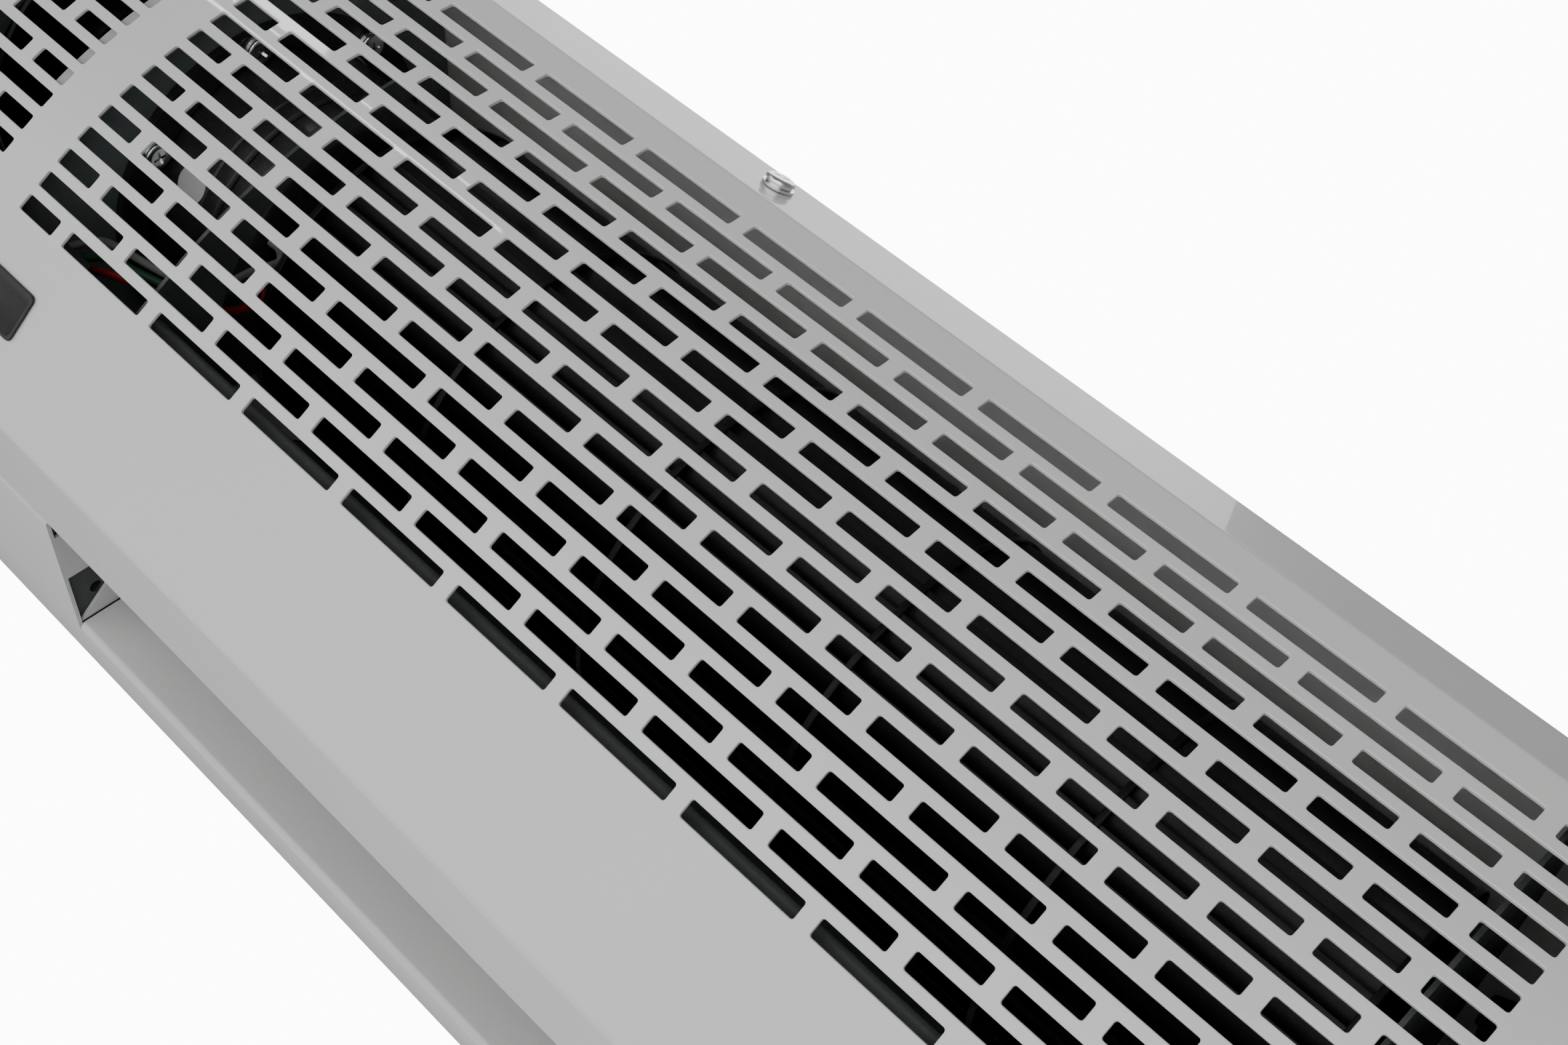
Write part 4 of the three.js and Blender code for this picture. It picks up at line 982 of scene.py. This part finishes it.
def build_badge():
    """A bare dark plate with slanted ends and rounded corners on the plain lower front."""
    points = [v.co.copy() for v in frame["nodes"]["badge_plate"].data.vertices]
    centre = sum(points, Vector()) / len(points)
    out = Vector((0, -math.cos(LOWER_TILT), -math.sin(LOWER_TILT)))
    up = Vector((0, -math.sin(LOWER_TILT), math.cos(LOWER_TILT)))
    width = max(p.x for p in points) * 1000
    height = max((p - centre).dot(up) for p in points) * 1000
    thick = max((p - centre).dot(out) for p in points) * 1000
    slanted = [
        Vector((BADGE_SLANT - width, -height)), Vector((width, -height)),
        Vector((width - BADGE_SLANT, height)), Vector((-width, height)),
    ]

    def loop(inset, radius=2.0, steps=6):
        """The plate's outline, drawn in all round by an inset."""
        inner = [p + Vector((-inset if p.x > 0 else inset, -inset if p.y > 0 else inset)) for p in slanted]
        rounded = []
        for before, corner, after in zip(inner[-1:] + inner[:-1], inner, inner[1:] + inner[:1]):
            a = corner + (before - corner).normalized() * radius
            b = corner + (after - corner).normalized() * radius
            rounded += eased_corner(a, corner, b, steps)
        return rounded

    # Levels from the back face over the rounded edge to a face sunk a little behind its rim.
    levels = [(0.0, -thick), (0.0, thick - 0.35), (0.12, thick - 0.1), (0.35, thick), (1.0, thick), (1.2, thick - 0.22)]
    vertices, rings = [], []
    for inset, level in levels:
        outline = loop(inset)
        rings.append(range(len(vertices), len(vertices) + len(outline)))
        for p in outline:
            at = centre + Vector((p.x, 0, 0)) / 1000 + up * (p.y / 1000) + out * (level / 1000)
            vertices.append((at.x * 1000, (at.y - FRONT) * 1000, (at.z - UNDERSIDE) * 1000))
    faces = [tuple(reversed(rings[0])), tuple(rings[-1]), *ring_faces(rings)]
    piece("bare_badge", vertices, faces, "black_plastic", "case", ["badge_plate"], 50)


DISCS = 6
DISC = 2.0
HUB_BORE = 13.4
STUB_BORE = 4.4
BLADE_SWEEP = math.radians(17)
BLADE_BOW = 0.045
BLADE_EDGE = 0.45


def blade_outline(sizes, turn, steps=6):
    """The section of one bowed blade, thin at both edges, as (radius, angle) points."""
    rim = sizes.radius - 0.6
    line = []
    for i in range(steps + 1):
        t = i / steps
        line.append((rim + (sizes.root - rim) * t, turn + BLADE_SWEEP * t + BLADE_BOW * math.sin(math.pi * t)))
    halves = [sizes.blade / 2 * (BLADE_EDGE if i in (0, steps) else 1) for i in range(steps + 1)]
    front = [(radius, angle + half / radius) for (radius, angle), half in zip(line, halves)]
    rear = [(radius, angle - half / radius) for (radius, angle), half in zip(line, halves)]
    return front + rear[::-1]


def build_wheels(sizes):
    """Cross-flow wheels: thin bowed blades through a row of discs."""
    for side, sign in SIDES:
        ends = sorted(abs(corner.x) * 1000 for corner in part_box(f"wheel_{side}"))
        vertices, faces = [], []
        for blade in range(sizes.blades):
            loop = blade_outline(sizes, math.tau * (blade + 0.25) / sizes.blades)
            near = range(len(vertices), len(vertices) + len(loop))
            far = range(near.stop, near.stop + len(loop))
            for x in (ends[0] + DISC / 2, ends[1] - DISC / 2):
                vertices += [(sign * x, AXIS[0] + r * math.cos(a), AXIS[1] + r * math.sin(a)) for r, a in loop]
            faces += [*ring_faces([near, far]), tuple(reversed(near)), tuple(far)]
        piece(f"fan_blades_{side}", vertices, faces, "wheel_black", "rotor", [f"wheel_{side}"], 45)
        rim = sizes.radius
        for i in range(DISCS):
            x = ends[0] + (ends[1] - ends[0] - DISC) * i / (DISCS - 1)
            hub = {0: HUB_BORE, DISCS - 1: STUB_BORE}.get(i, 0.0)
            profile = [(x, hub), (x, rim), (x + DISC, rim), (x + DISC, hub)]
            if not hub:
                profile = [(x + 0.6, 0), (x + 0.6, rim - 4), (x, rim - 3), (x, rim), (x + DISC, rim),
                           (x + DISC, rim - 3), (x + DISC - 0.4, rim - 4), (x + DISC - 0.4, 0)]
            turned(f"fan_disc_{side}_{i + 1}", profile, 72, AXIS, "wheel_black", "rotor", sign=sign, soften=0.4)


def build_drive():
    """Shaft, hubs and stub shafts that carry the wheels, and the bearings at the outer ends."""
    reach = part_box("motor_shaft")[1].x * 1000
    profile = [(-reach, 0), (-reach, 4.2), (-reach + 0.8, 5), (reach - 0.8, 5), (reach, 4.2), (reach, 0)]
    turned("shaft", profile, 40, AXIS, "steel", "rotor", ["motor_shaft"], soften=0)
    for side, sign in SIDES:
        profile = [(61.7, 5.3), (61.7, 22), (64.7, 22), (64.7, 13), (84, 13), (84, 5.3)]
        turned(f"hub_{side}", profile, 56, AXIS, "zinc", "rotor", [f"drive_hub_{side}"], sign, soften=0.7)
        inside = 400.7
        profile = [(inside - 2, 0), (inside - 2, 12), (inside, 12), (inside, 4), (419.2, 4), (420, 3.4), (420, 0)]
        turned(f"stub_{side}", profile, 40, AXIS, "steel", "rotor", [f"stub_shaft_{side}"], sign, soften=0.3)
        profile = [(405, 4.3), (405, 8), (417, 8), (417, 4.3)]
        turned(f"bush_{side}", profile, 40, AXIS, "bronze", "case", [f"bearing_{side}"], sign, soften=0.5)
        profile = [(406, 8.3), (406, 17), (408.7, 18), (408.7, 14.7), (410.5, 14.7), (410.5, 18), (415.5, 16),
                   (415.5, 8.3)]
        turned(f"rubber_cup_{side}", profile, 56, AXIS, "rubber", "case", [f"bearing_cup_{side}"], sign, soften=0.9)


def build_motor():
    """The motor: barrel with rolled seams, end shields, mounting ring and a bare round sticker."""
    seamed_end = [(22.8, 44), (23.4, 43.5), (24, 44), (29, 44), (30, 43), (30, 5.3)]
    barrel = [(-x, radius) for x, radius in reversed(seamed_end)] + seamed_end
    turned("barrel", barrel, 96, AXIS, "black_paint", "case", ["motor_barrel"], soften=0.3)
    shield = [
        (30.3, 5.3), (30.3, 43.6), (38.5, 43.6), (43, 40), (44.3, 36), (44.3, 22), (43, 20), (43, 14), (48.3, 12.5),
        (48.3, 5.3),
    ]
    for side, sign in SIDES:
        turned(f"shield_{side}", shield, 96, AXIS, "black_paint", "case", [f"motor_shield_{side}"], sign, soften=1.2)
    low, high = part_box("motor_flange")
    holes = [round_hole(AXIS, MOTOR_BORE, 72)]
    holes += [round_hole(place, SCREW_HOLE, 16) for place in FLANGE_SCREWS]
    flat_plate(
        "mounting_ring", round_hole(AXIS, 54.2, 96)(), holes, low.x * 1000, high.x * 1000, 0.3,
        slot="black_paint", body="case", nodes=["motor_flange"],
    )
    sticker()


STICKER = {"x": 17.0, "behind": -35.5, "above": -27.0, "radius": 5.7, "barrel": 44.12}


def sticker():
    """A bare white round sticker on the barrel, bent round it."""
    middle = math.atan2(STICKER["behind"], STICKER["above"])
    barrel, rings, sides = STICKER["barrel"], 4, 48

    def on_barrel(along, across, lift):
        angle = middle + across / barrel
        return (STICKER["x"] + along, AXIS[0] + lift * math.cos(angle), AXIS[1] + lift * math.sin(angle))

    vertices = [on_barrel(0, 0, barrel)]
    for ring in range(1, rings + 1):
        reach = STICKER["radius"] * ring / rings
        lift = barrel if ring < rings else barrel - 0.1
        for k in range(sides):
            turn = math.tau * k / sides
            vertices.append(on_barrel(reach * math.cos(turn), reach * math.sin(turn), lift))
    faces = [(0, 1 + k, 1 + (k + 1) % sides) for k in range(sides)]
    for ring in range(rings - 1):
        a, b = 1 + ring * sides, 1 + (ring + 1) * sides
        faces += [(a + k, b + k, b + (k + 1) % sides, a + (k + 1) % sides) for k in range(sides)]
    piece("bare_sticker", vertices, faces, "white_paint", "case")


# ------------------------------------------------------------------ screws


SCREW_HEIGHT = 3.0
SHANK = 1.8
SCREW_SIDES = 36
# Two bars crossed make a screw's recess. Reach and foot are shares of the head's radius and of the reach.
RECESS_REACH = 1.15
RECESS_FOOT = 0.45
RECESS_WIDTH = 0.75
RECESS_DEPTH = 2.2
RECESS_ABOVE = 0.5


def screw_profiles(head, length, washers):
    """The profiles of a screw's washers and of the screw itself, as (along, radius), with the seat at 0."""
    profiles = []
    seat = 0.0
    if washers:
        bore = SHANK + 0.1
        profiles.append([(0.0, bore), (0.0, head + 0.4), (0.7, head + 0.4), (0.7, bore)])
        profiles.append([(0.75, bore), (0.75, head - 0.5), (1.6, head - 0.5), (1.6, bore)])
        seat = 1.65
    rise = SCREW_HEIGHT - seat
    screw = [(-length, 0), (-length, SHANK), (seat, SHANK), (seat, head), (seat + 0.35 * rise, head)]
    for k in range(1, 6):
        angle = math.pi / 2 * k / 6
        screw.append((seat + rise * (0.35 + 0.65 * math.sin(angle)), head * (0.55 + 0.45 * math.cos(angle))))
    screw.append((SCREW_HEIGHT, 0))
    return [*profiles, screw]


def turned_mesh(name, profiles):
    """A mesh of profiles turned about z, in metres."""
    work = bmesh.new()
    for profile in profiles:
        rings = []
        for along, radius in profile:
            if radius < ON_AXIS:
                rings.append([work.verts.new((0, 0, along / 1000))] * SCREW_SIDES)
                continue
            turns = (math.tau * k / SCREW_SIDES for k in range(SCREW_SIDES))
            places = [(radius * math.cos(t) / 1000, radius * math.sin(t) / 1000, along / 1000) for t in turns]
            rings.append([work.verts.new(place) for place in places])
        for corners in ring_faces(rings, is_closed(profile)):
            work.faces.new(corners)
    bmesh.ops.recalc_face_normals(work, faces=work.faces)
    return finished(name, work)


def recess_mesh(name, head):
    """The cross that is cut into a screw's head, in metres."""
    work = bmesh.new()
    for turn in (0, math.pi / 2):
        bar = bmesh.ops.create_cube(work, size=1.0)["verts"]
        for vert in bar:
            taper = 1.0 if vert.co.z > 0 else RECESS_FOOT
            x = vert.co.x * head * RECESS_REACH * taper / 1000
            z = (SCREW_HEIGHT + RECESS_ABOVE + (vert.co.z - 0.5) * RECESS_DEPTH) / 1000
            vert.co = Vector((x, vert.co.y * RECESS_WIDTH / 1000, z))
        bmesh.ops.rotate(work, verts=bar, cent=(0, 0, 0), matrix=Matrix.Rotation(turn, 3, "Z"))
    return finished(name, work)


def finished(name, work):
    """A new mesh from a working one, which is freed."""
    mesh = bpy.data.meshes.new(name)
    work.to_mesh(mesh)
    work.free()
    return mesh


def screw_mesh(name, head, length, washers=True):
    """A pan-head screw with a cross recess, with its seat at z = 0 and its head along +z, in metres."""
    blank = bpy.data.objects.new(name + "_work", turned_mesh(name, screw_profiles(head, length, washers)))
    cutter = bpy.data.objects.new(name + "_cutter", recess_mesh(name + "_recess", head))
    for thing in (blank, cutter):
        bpy.context.scene.collection.objects.link(thing)
    cut = blank.modifiers.new("recess", "BOOLEAN")
    cut.object = cutter
    cut.solver = "EXACT"
    cut.use_self = True
    result = settled(blank)
    bpy.data.objects.remove(cutter)
    result.name = name
    return result


def put_screw(node_name, mesh, direction, slot="chrome", spin=0.0):
    """A screw in place of a CAD screw, with the same top and its head standing out along a direction."""
    direction = Vector(direction)
    points = [v.co for v in frame["nodes"][node_name].data.vertices]
    top = max(p.dot(direction) for p in points)
    crown = [p for p in points if p.dot(direction) > top - 1e-5]
    seat = sum(crown, Vector()) / len(crown) - direction * (SCREW_HEIGHT / 1000)
    turn = direction.to_track_quat("Z", "Y").to_matrix().to_4x4()
    copy = mesh.copy()
    copy.transform(Matrix.Translation(seat) @ turn @ Matrix.Rotation(spin, 4, "Z"))
    return dress(node_name.replace("screw", "pan_head"), copy, slot, "case", [node_name], 35)


def build_screws():
    """Every visible screw, each set where its CAD node is."""
    random.seed(4)
    washered = screw_mesh("pan_head_washer", 4.3, 7.0)
    plain = screw_mesh("pan_head", 4.5, 6.0, washers=False)
    out = (0, -math.cos(TOP_TILT), math.sin(TOP_TILT))
    jobs = [(f"cover_screw_{i}", washered, out) for i in range(1, 5)]
    jobs += [(f"motor_screw_{i}", washered, (1, 0, 0)) for i in range(1, 7)]
    jobs += [(f"end_screw_{side}_{i}", plain, (sign, 0, 0)) for side, sign in SIDES for i in (1, 2)]
    for node_name, mesh, direction in jobs:
        put_screw(node_name, mesh, direction, spin=random.uniform(0, math.pi / 2))
    short = screw_mesh("short_pan_head", 4.5, 3.0, washers=False)
    for node_name in ("lock_screw_left", "lock_screw_right", "capacitor_screw"):
        put_screw(node_name, short, (0, -1, 0), "zinc")
    put_screw("bracket_screw", short, (1, 0, 0), "zinc")


# ------------------------------------------------------------------ leads


WIRES = (
    ("lead_white", "white_lead", 0, 5, (-20, -29)),
    ("lead_green", "green_lead", 1, 2, (-15, -33)),
    ("lead_red", "red_lead", 2, -1, (-9.5, -36)),
)
SHIELD_FACE = 44.6


def wire_route(pole, lift, from_axis):
    """Up out of the well, along behind the cover, up beside the inner end plate and back to the shield."""
    low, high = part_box("terminal_block")
    x0, x1 = low.x * 1000, high.x * 1000
    x = x0 + (pole + 0.5) * (x1 - x0) / 3
    y = ((low.y + high.y) / 2 - FRONT) * 1000
    z = (high.z - UNDERSIDE) * 1000 - 6.7
    leave = (AXIS[0] + from_axis[0], AXIS[1] + from_axis[1])
    return [
        (x, y, z), (x, y, z + 7.5), (x + 8, y - 3, z + 10.5 + lift), (x1 + 17, y - 7 + pole, z + 13.5 + lift),
        (SHIELD_FACE + 8, y - 8 + 1.5 * pole, z + 18 + lift), (SHIELD_FACE + 8, leave[0] - 2, leave[1] - 12),
        (SHIELD_FACE + 8, leave[0], leave[1] - 3), (SHIELD_FACE + 4, *leave), (SHIELD_FACE, *leave),
    ]


def wire(name, points, slot, nodes, radius=1.2):
    """A round wire on a smooth line through its points."""
    route = bpy.data.curves.new(name + "_route", "CURVE")
    route.dimensions = "3D"
    route.bevel_depth = radius / 1000
    route.bevel_resolution = 5
    route.use_fill_caps = True
    route.resolution_u = 14
    places = [world(*point) for point in points]
    spline = route.splines.new("BEZIER")
    spline.bezier_points.add(len(places) - 1)
    for knot, before, at, after in zip(
        spline.bezier_points, places[:1] + places[:-1], places, places[1:] + places[-1:]
    ):
        reach = min((at - before).length or 1, (after - at).length or 1) / 3
        pull = (after - before).normalized() * reach
        knot.co = at
        knot.handle_left = at - pull
        knot.handle_right = at + pull
    temporary = bpy.data.objects.new(name + "_curve", route)
    bpy.context.scene.collection.objects.link(temporary)
    dress(name, settled(temporary), slot, "case", nodes, 60)


def build_leads():
    """The insulated wires from the terminal block into the motor's right shield."""
    for node_name, slot, pole, lift, from_axis in WIRES:
        wire(node_name.replace("lead", "wire"), wire_route(pole, lift, from_axis), slot, [node_name])


# ------------------------------------------------------------------ panel parts kept from CAD

KEPT_EDGES = {
    "end_panel_left": 0.5, "end_panel_right": 0.5, "wall_plate": 0.3, "terminal_bracket": 0.2,
    "terminal_block": 0.5, "capacitor": 1.2, "switch_housing": 0.5, "switch_rocker": 0.6,
}


def keep_nodes():
    """Finishes for every CAD node, and soft edges on those that stay in view."""
    slots = {entry["node"]: entry["material_slot"] for entry in frame["record"]["subparts"]}
    for name, thing in frame["nodes"].items():
        thing.data.materials.clear()
        thing.data.materials.append(FINISHES[slots[name]])
        if name in KEPT_EDGES:
            weld = thing.modifiers.new("weld", "WELD")
            weld.merge_threshold = 1e-5
            soften_edges(thing, KEPT_EDGES[name], 3)


def build_gland():
    """The cable gland: threaded body, hexagon, ribbed cap and its nut under the sheet."""
    low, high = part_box("cable_gland")
    centre = (low + high) / 2
    nut, cap, sides = 1, 3, 48
    parts = (
        [(181.5, 4.0), (181.5, 7.6), (186.5, 7.6), (186.5, 4.0)],
        [(186.6, 4.0), (186.6, 11.0), (190.4, 11.0), (190.4, 4.0)],
        [(190.5, 4.0), (190.5, 7.8), (192.2, 7.8), (192.2, 4.0)],
        [(192.3, 4.0), (192.3, 11.0), (196.2, 11.0), (197.4, 8.6), (203.2, 6.6), (203.2, 4.0)],
    )
    vertices, faces = [], []
    for which, profile in enumerate(parts):
        rings = []
        for z, radius in fillet(profile, 0.6):
            rings.append(range(len(vertices), len(vertices) + sides))
            for k in range(sides):
                angle = math.tau * k / sides
                reach = radius
                if which == nut and radius > 9:
                    across = (angle + math.pi / 6) % (math.pi / 3) - math.pi / 6
                    reach = radius * math.cos(math.pi / 6) / math.cos(across)
                if which == cap and radius > 8.7 and k % 2:
                    reach -= 0.35
                x = centre.x * 1000 + reach * math.cos(angle)
                vertices.append((x, (centre.y - FRONT) * 1000 + reach * math.sin(angle), z))
        faces += ring_faces(rings, closed=True)
    piece("gland", vertices, faces, "black_plastic", "case", ["cable_gland"], 30)


# ------------------------------------------------------------------ stage


LAMPS = (
    # name, place, aimed at, width and height in metres, power in watts
    ("softbox_over", (-0.85, 0.35, 1.5), (-0.8, 0.2, 0.0), (1.42, 1.5), 13.0),
    ("softbox_front", (0.9, -2.4, -0.2), (0.2, -0.1, 0.0), (1.6, 1.2), 11.8),
    ("floor_wash", (0.2, -1.2, -0.25), (0.2, -1.2, -0.75), (2.4, 1.3), 34.0),
    ("strip_low", (-1.68, -2.07, 0.54), (-1.68, -0.15, 0.02), (0.8, 0.03), 2.2),
    ("strip_high", (-1.74, -2.07, 0.68), (-1.74, -0.15, 0.02), (0.7, 0.02), 1.1),
    ("glint", (-2.0, -2.07, 0.86), (-2.0, -0.15, 0.02), (0.36, 0.2), 5.0),
    ("softbox_back", (0.3, 2.6, 0.9), (0.0, 0.0, 0.0), (2.2, 1.2), 45.0),
    ("overhead", (0.0, 1.2, 3.2), (0.0, 0.6, 0.0), (5.0, 4.0), 12.0),
)
CAMERA_PLACE = (0.43497, -0.51465, -0.22686)
CAMERA_RIGHT = (0.70725, -0.06327, 0.70413)
CAMERA_FORWARD = (-0.41108, 0.77349, 0.48241)


def build_stage(settings):
    """Floor, studio lights, white surround and the camera at the photograph's place."""
    scene = bpy.context.scene
    edge = 6.0
    corners = [(x * edge, y * edge, settings.floor) for x, y in ((-1, -1), (1, -1), (1, 1), (-1, 1))]
    mesh = bpy.data.meshes.new("studio_floor")
    mesh.from_pydata(corners, [], [(0, 1, 2, 3)])
    floor = bpy.data.objects.new("studio_floor", mesh)
    scene.collection.objects.link(floor)
    material, tree, shader = surface("pale_floor", {"Specular IOR Level": 0.3})
    mottle = noise(tree, 3, 4)
    feed(
        tree,
        shader,
        Base_Color=blend(tree, mottle, (0.78, 0.78, 0.78, 1), (0.84, 0.84, 0.84, 1)),
        Roughness=0.55 + mottle * 0.1,
    )
    mesh.materials.append(material)

    surround = bpy.data.worlds.new("white_surround")
    surround.use_nodes = True
    tree = surround.node_tree
    tree.nodes.clear()
    seen = node(tree, "ShaderNodeBackground", {}, {"Color": (1, 1, 1, 1), "Strength": settings.backdrop})
    lit = node(tree, "ShaderNodeBackground", {}, {"Color": (1, 1, 1, 1), "Strength": settings.ambient})
    camera_ray = node(tree, "ShaderNodeLightPath", output="Is Camera Ray")
    mixed = node(tree, "ShaderNodeMixShader", {}, {0: camera_ray, 1: lit, 2: seen})
    out = tree.nodes.new("ShaderNodeOutputWorld")
    tree.links.new(mixed.socket, out.inputs["Surface"])
    scene.world = surround

    for name, place, target, size, power in LAMPS:
        lamp = bpy.data.lights.new(name, "AREA")
        lamp.shape = "RECTANGLE"
        lamp.size, lamp.size_y = size
        lamp.energy = power
        holder = bpy.data.objects.new(name, lamp)
        holder.location = place
        holder.rotation_euler = (Vector(target) - Vector(place)).to_track_quat("-Z", "Y").to_euler()
        holder.visible_camera = False
        scene.collection.objects.link(holder)

    lens = bpy.data.cameras.new("photo_camera")
    lens.lens = settings.lens
    lens.sensor_width = 36.0
    lens.clip_start = 0.01
    camera = bpy.data.objects.new("photo_camera", lens)
    right = Vector(CAMERA_RIGHT).normalized()
    back = -Vector(CAMERA_FORWARD)
    back = (back - right * back.dot(right)).normalized()
    turn = Matrix((right, back.cross(right), back)).transposed().to_4x4()
    camera.matrix_world = Matrix.Translation(CAMERA_PLACE) @ turn
    scene.collection.objects.link(camera)
    scene.camera = camera


# ------------------------------------------------------------------ operators


class Piece:
    """What every operator of this file shares."""

    bl_options = {"REGISTER", "UNDO"}


class AIRCURTAIN_OT_finishes(Piece, bpy.types.Operator):
    """Make the paints, platings and plastics and give every CAD node its own"""

    bl_idname = "aircurtain.finishes"
    bl_label = "Finishes"

    def execute(self, context):
        FINISHES.update(make_finishes(context.scene.unit_colours))
        keep_nodes()
        return {"FINISHED"}


class AIRCURTAIN_OT_cover(Piece, bpy.types.Operator):
    """Build the slotted cover, the strip behind its band and the bare badge"""

    bl_idname = "aircurtain.cover"
    bl_label = "Cover"

    def execute(self, context):
        build_cover(context.scene.cover_sizes)
        build_stiffener(context.scene.cover_sizes)
        build_badge()
        return {"FINISHED"}


class AIRCURTAIN_OT_case(Piece, bpy.types.Operator):
    """Build the folded case with its outlets and lips"""

    bl_idname = "aircurtain.case"
    bl_label = "Case"

    def execute(self, context):
        build_case()
        return {"FINISHED"}


class AIRCURTAIN_OT_plates(Piece, bpy.types.Operator):
    """Build the plates across the case and the air guides"""

    bl_idname = "aircurtain.plates"
    bl_label = "Plates and guides"

    def execute(self, context):
        build_plates()
        build_guides()
        return {"FINISHED"}


class AIRCURTAIN_OT_wheels(Piece, bpy.types.Operator):
    """Build the cross-flow wheels with their shaft, hubs and bearings"""

    bl_idname = "aircurtain.wheels"
    bl_label = "Wheels"

    def execute(self, context):
        build_wheels(context.scene.wheel_sizes)
        build_drive()
        return {"FINISHED"}


class AIRCURTAIN_OT_motor(Piece, bpy.types.Operator):
    """Build the motor and its wires"""

    bl_idname = "aircurtain.motor"
    bl_label = "Motor"

    def execute(self, context):
        build_motor()
        build_leads()
        return {"FINISHED"}


class AIRCURTAIN_OT_fittings(Piece, bpy.types.Operator):
    """Build the screws and the cable gland"""

    bl_idname = "aircurtain.fittings"
    bl_label = "Fittings"

    def execute(self, context):
        build_screws()
        build_gland()
        return {"FINISHED"}


class AIRCURTAIN_OT_stage(Piece, bpy.types.Operator):
    """Set the floor, lights, surround and camera"""

    bl_idname = "aircurtain.stage"
    bl_label = "Stage"

    def execute(self, context):
        build_stage(context.scene.stage_settings)
        return {"FINISHED"}


class AIRCURTAIN_PT_pieces(bpy.types.Panel):
    """The unit's pieces and their sizes"""

    bl_idname = "AIRCURTAIN_PT_pieces"
    bl_label = "Air Curtain"
    bl_space_type = "VIEW_3D"
    bl_region_type = "UI"
    bl_category = "Air Curtain"

    def draw(self, context):
        layout = self.layout
        for operator in OPERATORS:
            layout.operator(operator.bl_idname)
        for name in GROUPS:
            box = layout.box()
            group = getattr(context.scene, name)
            for field in group.__annotations__:
                box.prop(group, field)


OPERATORS = (
    AIRCURTAIN_OT_finishes,
    AIRCURTAIN_OT_stage,
    AIRCURTAIN_OT_cover,
    AIRCURTAIN_OT_case,
    AIRCURTAIN_OT_plates,
    AIRCURTAIN_OT_wheels,
    AIRCURTAIN_OT_motor,
    AIRCURTAIN_OT_fittings,
)
GROUPS = {
    "cover_sizes": CoverSizes,
    "wheel_sizes": WheelSizes,
    "unit_colours": Colours,
    "stage_settings": StageSettings,
}


def register():
    for made in (*GROUPS.values(), *OPERATORS, AIRCURTAIN_PT_pieces):
        bpy.utils.register_class(made)
    for name, group in GROUPS.items():
        setattr(bpy.types.Scene, name, PointerProperty(type=group))


def unregister():
    for name in GROUPS:
        delattr(bpy.types.Scene, name)
    for made in (AIRCURTAIN_PT_pieces, *reversed(OPERATORS), *reversed(tuple(GROUPS.values()))):
        bpy.utils.unregister_class(made)


def main():
    register()
    bpy.ops.aircurtain.finishes()
    bpy.ops.aircurtain.stage()
    bpy.ops.aircurtain.cover()
    bpy.ops.aircurtain.case()
    bpy.ops.aircurtain.plates()
    bpy.ops.aircurtain.wheels()
    bpy.ops.aircurtain.motor()
    bpy.ops.aircurtain.fittings()


if __name__ == "__main__":
    main()
